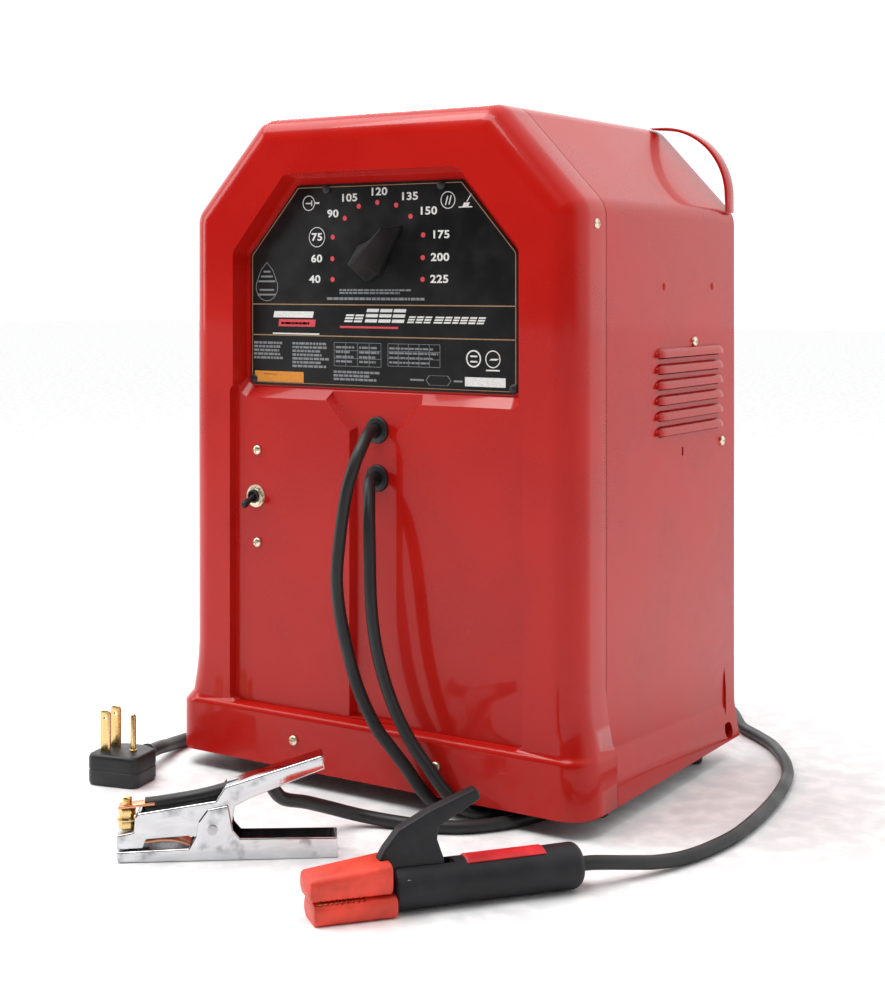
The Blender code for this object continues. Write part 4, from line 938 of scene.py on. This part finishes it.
screwList = [   # name, (x, depth, z), outward, node that it stands for
    ("switchScrewUpper", (-0.131, 0.0075, 0.301), (0, -1, 0), "switch_screw_upper"),
    ("switchScrewLower", (-0.131, 0.0075, 0.215), (0, -1, 0), "switch_screw_lower"),
]
for screwName, (across, depth, height), outward, stem in (
        ("skirtScrew", (0.077, -0.007, 0.042), (0, -1, 0), "skirt_screw_"),
        ("sideScrew", (0.210, 0.227, 0.402), (1, 0, 0), "side_screw_"),
        ("rearScrew", (0.210, 0.289, 0.305), (1, 0, 0), None),
        ("shoulderScrew", (0.2085, 0.036, 0.506), (1, 0, 0.12), None)):
    for hand, side in (("left", -1), ("right", 1)):
        screwList.append((screwName + hand.title(), (side * across, depth, height), (side * outward[0], *outward[1:]),
                          stem and stem + hand))


def setScrews():
    for name, (x, depth, z), outward, node in screwList:
        piece(name, screwHead(screw["radius"]), "zinc", stands=(node,) if node else (),
              at=standing((x, frontY + depth, z), outward), crease=30)
    studs = []
    for side in (-1, 1):
        for depth in (0.165, 0.269):
            stud = spun([(0, 0.0016), (0.0022, 0.0013), (0.0036, 0.0006), (0.0041, 0), (0, 0)], 20)
            placed(stud, standing((side * 0.210, frontY + depth, 0.453), (side, 0, 0)))
            studs.append(stud)
    piece("paintedRivets", joined(*studs), "red_enamel")


def ringedBushing(name, z, node):
    bore, flange = 0.0056, 0.0122
    profile = [(bore, -0.006), (bore, 0.0022)] + arc(bore + 0.0016, 0.0018, 0.0012, 160, 60, 4)
    profile += arc(flange - 0.0016, 0.0013, 0.0014, 80, 0, 4) + [(flange, 0.0002), (0.0088, 0.0002), (0.0088, -0.006)]
    shape = spun(profile, 36, closed=True)
    piece(name, shape, "black_rubber", stands=(node,), at=standing((0, frontY + leadHole["depth"], z), (0, -1, 0)))


def fitSwitch():
    spot = (-0.133, frontY + 0.0075, 0.258)
    collar = spun([(0.0062, 0.0002), (0.0104, 0.0002), (0.0106, 0.0006), (0.0104, 0.0011), (0.0078, 0.0012),
                   (0.0078, 0.0013),
                   (0.0074, 0.0035), (0.0063, 0.0036)], 36, closed=True)
    nut = [(0.0092 * math.cos(math.radians(a)), 0.0092 * math.sin(math.radians(a))) for a in range(0, 360, 60)]
    hexNut = softened(skinned([[(x, y, z) for x, y in nut] for z in (0.0012, 0.0030)]), 0.0004, 2, 30)
    hexNut = carved(hexNut, spun([(0, 0.01), (0.0063, 0.01), (0.0063, -0.01), (0, -0.01)], 32))
    piece("switchNut", joined(collar, hexNut), "zinc", stands=("toggle_nut",), at=standing(spot, (0, -1, 0)), crease=30)
    tilt = math.radians(25)
    bat = [(0, 0.0178), (0.0018, 0.0174), (0.0030, 0.0163), (0.0035, 0.0146), (0.0033, 0.0122), (0.0027, 0.0080),
           (0.0024, 0.0040),
           (0.0028, 0.0010), (0.0026, -0.0012), (0.0012, -0.0026), (0, -0.0028)]
    piece("switchLever", spun(bat, 28), "black_plastic", "line_switch_lever", ("toggle_lever",),
          standing((spot[0], frontY + 0.004, spot[2]), (0, -math.cos(tilt), -math.sin(tilt))))


shapeKnob()
setScrews()
ringedBushing("electrodeBushing", leadHole["electrode"], "electrode_lead_bushing")
ringedBushing("workBushing", leadHole["work"], "work_lead_bushing")
fitSwitch()
print("front fittings set")


# ---- electrode holder
barrel = {"start": 0.065, "end": 0.214, "radius": 0.017, "middle": 0.0173, "pin": (0.074, 0.024)}


def sliceOf(s, half, low, high, radius=0.005, steps=5):
    corners = [(-half, low), (half, low), (half, high), (-half, high)]
    return [(s, y, z) for y, z in roundedOutline(corners, radius, steps)]


def shapeHolder():
    start, end, radius = barrel["start"], barrel["end"], barrel["radius"]
    length = end - start
    bore = 0.0062
    profile = [(0, 0), (0.0145, 0), (0.0164, 0.0012), (radius, 0.004)]
    profile += [(radius - 0.0004 * math.sin(math.pi * k / 8), 0.004 + (length - 0.012) * k / 8) for k in range(1, 8)]
    profile += [(radius - 0.007 + 0.007 * math.cos(math.radians(a)), length - 0.007 + 0.007 * math.sin(math.radians(a)))
                for a in range(0, 91, 15)]
    profile += [(bore + 0.0008, length), (bore, length - 0.0012), (bore, length - 0.012), (0, length - 0.012)]
    shape = spun(profile, 56)
    placed(shape, standing((start, 0, barrel["middle"]), (1, 0, 0)))
    shape = carved(shape, block((start - 0.01, -0.0066, 0.0095), (start + 0.047, 0.0066, 0.05)))
    piece("holderBarrel", shape, "grip_black", stands=("holder_handle",), at=holderPlace, crease=32)
    rings = []
    for s in (0.121, 0.1224, 0.124, 0.181, 0.1826, 0.184):   # a raised label along the top of the grip
        lift = 0.0007 if 0.122 < s < 0.183 else -0.0004
        ring = [((radius + lift) * math.sin(math.radians(a)), (radius + lift) * math.cos(math.radians(a)))
                for a in range(-33, 34, 6)]
        ring += [((radius - 0.0008) * math.sin(math.radians(a)), (radius - 0.0008) * math.cos(math.radians(a)))
                 for a in range(33, -34, -6)]
        rings.append([(s, y, barrel["middle"] + z) for y, z in ring])
    piece("holderLabel", skinned(rings), "label_red", at=holderPlace, crease=30)
    lever = roundedOutline([(0.0614, 0.021), (0.104, 0.021), (0.1044, 0.035), (0.0990, 0.050), (0.1000, 0.0590),
                            (0.1332, 0.0765),
                            (0.1300, 0.0846), (0.0937, 0.0716), (0.0700, 0.0600), (0.0590, 0.0470), (0.0545, 0.0392)],
                            0.0024, 4)
    shape = softened(pushed(lever, -0.0056, 0.0056), 0.0016, 4, 40)
    piece("holderLever", shape, "grip_black", body="holder_arm", stands=("holder_lever",), at=holderPlace, crease=35)
    stations = {
        "holderUpperJaw": [(0.0004, 0.0135, 0.0198, 0.0318), (0.0010, 0.0147, 0.0183, 0.0331),
                           (0.0026, 0.0155, 0.0175, 0.0340),
                           (0.0602, 0.0173, 0.0174, 0.0394), (0.0614, 0.0166, 0.0180, 0.0386)],
        "holderLowerJaw": [(0.0034, 0.0135, 0.0024, 0.0140), (0.0040, 0.0147, 0.0009, 0.0155),
                           (0.0056, 0.0155, 0.0003, 0.0161),
                           (0.0640, 0.0173, 0.0003, 0.0161), (0.0652, 0.0166, 0.0010, 0.0155)],
    }
    for name, rows in stations.items():
        upper = name == "holderUpperJaw"
        shape = skinned([sliceOf(*row) for row in rows])
        cuts = []
        for k in range(9):   # teeth where the rod is gripped
            s = 0.0085 + k * 0.0040
            z = 0.0168
            cuts.append(skinned([[(s - 0.0016, y, z), (s, y, z + (0.0024 if upper else -0.0024)), (s + 0.0016, y, z)]
                                 for y in (-0.02, 0.02)]))
        piece(name, carved(shape, *cuts), "tip_red", "holder_arm" if upper else "root",
              ("holder_upper_jaw",) if upper else ("holder_lower_jaw",), holderPlace, crease=30)
    turns = [Vector((0.094 + 0.0035 * math.cos(a), 0.0035 * math.sin(a), 0.0113 + 0.0085 * k / 80))
             for k, a in ((k, 2 * math.pi * k / 16) for k in range(65 + 16))]
    spring = piece("holderSpring", tubed(turns, 0.0012, 12), "steel", stands=("holder_spring",), at=holderPlace)
    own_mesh(spring)
    piece("jawInsert", softened(block((0.006, -0.0125, 0.0150), (0.0640, 0.0125, 0.0160)), 0.0003, 1, 40), "brass",
          at=holderPlace)


# ---- work clamp
clamp = {"wall": 0.0016, "lowerHalf": 0.013, "upperHalf": 0.0111, "pin": (0.0755, 0.0247)}


def channelled(outline, half, hollow, wall, soft=0.0011):   # a bent strip: outline with its sides, hollowed from above
    shape = softened(pushed(outline, -half, half), soft, 3, 38)
    return carved(shape, *[pushed(room, -half + wall, half - wall) for room in hollow])


def scaledBy(points):
    return [(x * mm, z * mm) for x, z in points]


def shapeClamp():
    lower = roundedOutline(scaledBy([(0.2, 8.6), (1.5, 0.3), (174, 0), (174, 16.4), (97, 17.4), (91.5, 24),
                                     (88.0, 43.5),
                                     (71.5, 40.5), (64.5, 31), (62.6, 20), (57, 10.2), (22, 9.3)]), 0.0014, 4)
    shape = channelled(lower, clamp["lowerHalf"], [scaledBy([(9, 1.6), (190, 1.6), (190, 70), (9, 70)])], clamp["wall"])
    piece("clampLowerJaw", shape, "chrome", stands=("clamp_lower_jaw",), at=clampPlace, crease=32)
    upper = roundedOutline(scaledBy([(0.2, 10.0), (21, 10.8), (23.5, 17.6), (58, 19.6), (66, 17), (85, 17), (90.5, 28),
                                     (93, 42),
                                     (105, 48.2), (164.2, 70.3), (161.8, 81.0), (85, 57.6), (78, 46.6), (17, 38),
                                     (14.6, 35), (13.8, 23.6), (0.2, 21)]), 0.0014, 4)
    rooms = [scaledBy([(19, 28.5), (86, 34), (86, 57), (84, 70), (19, 60)]),
             scaledBy([(91, 38), (91, 57.6), (175, 83.2), (175, 60), (108, 36)]),
             scaledBy([(62, 10), (88, 10), (88, 30), (62, 30)])]
    shape = channelled(upper, clamp["upperHalf"], rooms, clamp["wall"])
    piece("clampUpperJaw", shape, "chrome", body="clamp_arm", stands=("clamp_upper_jaw",), at=clampPlace, crease=32)
    hexagon = [(math.cos(math.radians(a)), math.sin(math.radians(a))) for a in range(0, 360, 60)]
    nuts = []
    for low, high, reach in ((0.0236, 0.0306, 0.0070), (0.0341, 0.0400, 0.0070)):
        nuts.append(softened(skinned([[(x * reach, y * reach, z) for x, y in hexagon] for z in (low, high)]), 0.0006, 2,
                             30))
    stud = [(0, 0.0490), (0.0030, 0.0488), (0.0037, 0.0480)]
    for k in range(9):   # the thread between the nuts and above them
        stud += [(0.0038, 0.0476 - k * 0.0009), (0.0032, 0.04715 - k * 0.0009)]
    stud += [(0.0038, 0.0396), (0.0055, 0.0342), (0.0055, 0.0308), (0.0038, 0.0300), (0.0038, 0.0238), (0, 0.0238)]
    washer = spun([(0, 0.0325), (0.0080, 0.0325), (0.0082, 0.0320), (0.0082, 0.0312), (0.0080, 0.0307), (0, 0.0307)],
                  32)
    bolt = joined(spun(stud, 28), washer, *nuts)
    moved(bolt, 0.0075, 0, 0)
    piece("clampBolt", bolt, "brass", body="clamp_arm", stands=("clamp_bolt",), at=clampPlace, crease=30)
    ribbon = smoothPath([(0.012, 0, 0.0145), (0.024, 0, 0.0148), (0.036, 0, 0.0160), (0.048, 0, 0.0150),
                         (0.058, 0, 0.0115)], 0.002)
    rings = [[(p.x, y, p.z + z) for y, z in roundedOutline([(-0.0085, -0.0012), (0.0085, -0.0012), (0.0085, 0.0012),
                                                             (-0.0085, 0.0012)], 0.0008, 3)] for p in ribbon]
    piece("clampBraid", skinned(rings), "braid", at=clampPlace)
    lug = softened(pushed(roundedOutline(scaledBy([(1, 40.4), (30, 43.2), (30, 45.2), (1, 42.2)]), 0.0006, 2), -0.0065,
                          0.0065),
                   0.0004, 2, 40)
    piece("leadLug", lug, "copper", body="clamp_arm", at=clampPlace)


# ---- plug, strain relief, feet and coil ties
def shapePlug():
    corners = [(-0.026, -0.023), (0.026, -0.023), (0.026, 0.016), (0.010, 0.024), (-0.010, 0.024), (-0.026, 0.016)]
    rings = []
    for k, z in ((0.90, 0.0), (0.965, 0.0006), (1.0, 0.0032), (1.0, 0.0130), (0.985, 0.0134), (0.985, 0.0146),
                 (1.0, 0.0150),
                 (1.0, 0.0240), (0.985, 0.0262), (0.94, 0.0277), (0.88, 0.0282)):
        rings.append([(x * k, y * k, z) for x, y in roundedOutline(corners, 0.008, 5)])
    piece("plugBody", skinned(rings), "black_rubber", stands=("plug_body",), at=plugPlace, crease=40)
    boot = [(0.0066, 0.0460), (0.0082, 0.0462), (0.0084, 0.0450)]
    for k in range(5):
        y = 0.0440 - k * 0.0042
        boot += [(0.0086 + k * 0.0003, y), (0.0090 + k * 0.0003, y - 0.0012), (0.0078 + k * 0.0003, y - 0.0016),
                 (0.0078 + k * 0.0003, y - 0.0030)]
    boot += [(0.0108, 0.0200), (0.0112, 0.0100), (0.0066, 0.0100)]
    piece("plugBoot", spun(boot, 40, closed=True), "black_rubber",
          at=plugPlace @ standing((0, 0, 0.014), (0, 1, 0)), crease=35)
    for name, y, node in (("plugBladeNear", -0.009, "plug_blade_near"), ("plugBladeFar", 0.009, "plug_blade_far")):
        outline = roundedOutline([(-0.0185, 0.020), (-0.0085, 0.020), (-0.0085, 0.0653), (-0.0185, 0.0653)], 0.0030, 5)
        blade = softened(pushed(outline, y - 0.0012, y + 0.0012), 0.0004, 2, 60)
        eye = spun([(0, 0.01), (0.0016, 0.01), (0.0016, -0.01), (0, -0.01)], 20)
        placed(eye, standing((-0.0135, y, 0.0585), (0, 1, 0)))
        piece(name, carved(blade, eye), "brass", stands=(node,), at=plugPlace)
    pin = [(0, 0.0625), (0.0010, 0.0622), (0.0020, 0.0612), (0.0026, 0.0596), (0.0026, 0.0300), (0.0034, 0.0296),
           (0.0034, 0.0200),
           (0, 0.0200)]
    shape = spun(pin, 28)
    moved(shape, 0.010, 0, 0)
    piece("plugGroundPin", shape, "brass", stands=("plug_ground_pin",), at=plugPlace, crease=30)


def fitRelief():
    profile = [(0.0067, 0.0350), (0.0084, 0.0352), (0.0087, 0.0345)]
    for k in range(6):
        z = 0.0330 - k * 0.0042
        out = 0.0089 + k * 0.00045
        profile += [(out, z), (out + 0.0003, z - 0.0016), (out - 0.0009, z - 0.0020), (out - 0.0009, z - 0.0036)]
    profile += [(0.0118, 0.0064), (0.0150, 0.0058), (0.0154, 0.0050), (0.0154, 0.0006), (0.0150, 0.0003),
                (0.0067, 0.0003)]
    piece("strainRelief", spun(profile, 44, closed=True), "black_rubber", stands=("power_cord_gland",),
          at=standing(glandPlace, (0, 1, 0)), crease=35)


def fitFeet():
    profile = [(0, 0.0197), (0.0105, 0.0197), (0.0110, 0.0192), (0.0110, 0.0150), (0.0104, 0.0140), (0.0098, 0.0030),
               (0.0094, 0.0010), (0.0084, 0.0), (0.0040, 0.0), (0.0036, 0.0012), (0, 0.0012)]
    for end, depth in (("front", 0.070), ("rear", 0.262)):
        for name, side in (("left", -1), ("right", 1)):
            shape = spun(profile, 36)
            moved(shape, side * 0.192, frontY + depth, 0)
            piece(f"{end}{name.title()}Foot", shape, "black_rubber", stands=(f"foot_{end}_{name}",), crease=35)


def tieCoils():
    for name, angle in (("electrodeLead", 60), ("workLead", 120), ("powerCord", 200)):
        cord = cords[name]
        x, depth, radius = cord["coil"][:3]
        thick, wide = cord["diameter"] * mm, 0.0075
        rings = []
        for across, grow in ((-wide / 2, 0), (-wide / 2, 0.0013), (wide / 2, 0.0013), (wide / 2, 0)):
            reach = thick + grow
            outline = roundedOutline([(-reach, 0.0002 if not grow else 0.00005),
                                      (reach, 0.0002 if not grow else 0.00005),
                                      (reach, 2 * thick + grow), (-reach, 2 * thick + grow)], 0.0045, 5)
            rings.append([(a, across, z) for a, z in outline])
        shape = skinned(rings, capped=False)
        bmesh.ops.bridge_loops(shape, edges=[e for e in shape.edges if e.is_boundary])
        turn = math.radians(angle)
        place = Matrix.Translation((x * mm + radius * mm * math.cos(turn),
                                    cordFront + (depth + radius * math.sin(turn)) * mm, 0))
        piece(name + "Tie", shape, "black_plastic", at=place @ Matrix.Rotation(turn, 4, "Z"), crease=40)


shapeHolder()
shapeClamp()
shapePlug()
fitRelief()
fitFeet()
tieCoils()
print("holder, clamp, plug and feet made")


# ---- cords
electrode = piece("electrodeLead", tubed(*cordPaths["electrodeLead"]), "black_rubber",
                  stands=("electrode_lead_front", "electrode_lead_coil", "electrode_lead_rear"))
work = piece("workLead", tubed(*cordPaths["workLead"]), "black_rubber", body=None,
             stands=("work_lead_front", "work_lead_coil", "work_lead_rear"))
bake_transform(work)
power = piece("powerCord", tubed(*cordPaths["powerCord"]), "black_rubber",
              stands=("power_cord_front", "power_cord_coil", "power_cord_rear"))


def declareCord(obj):
    path, size = cordPaths[obj.name]
    round(pathLength(path), 2)


declareCord(electrode)
declareCord(work)
declareCord(power)
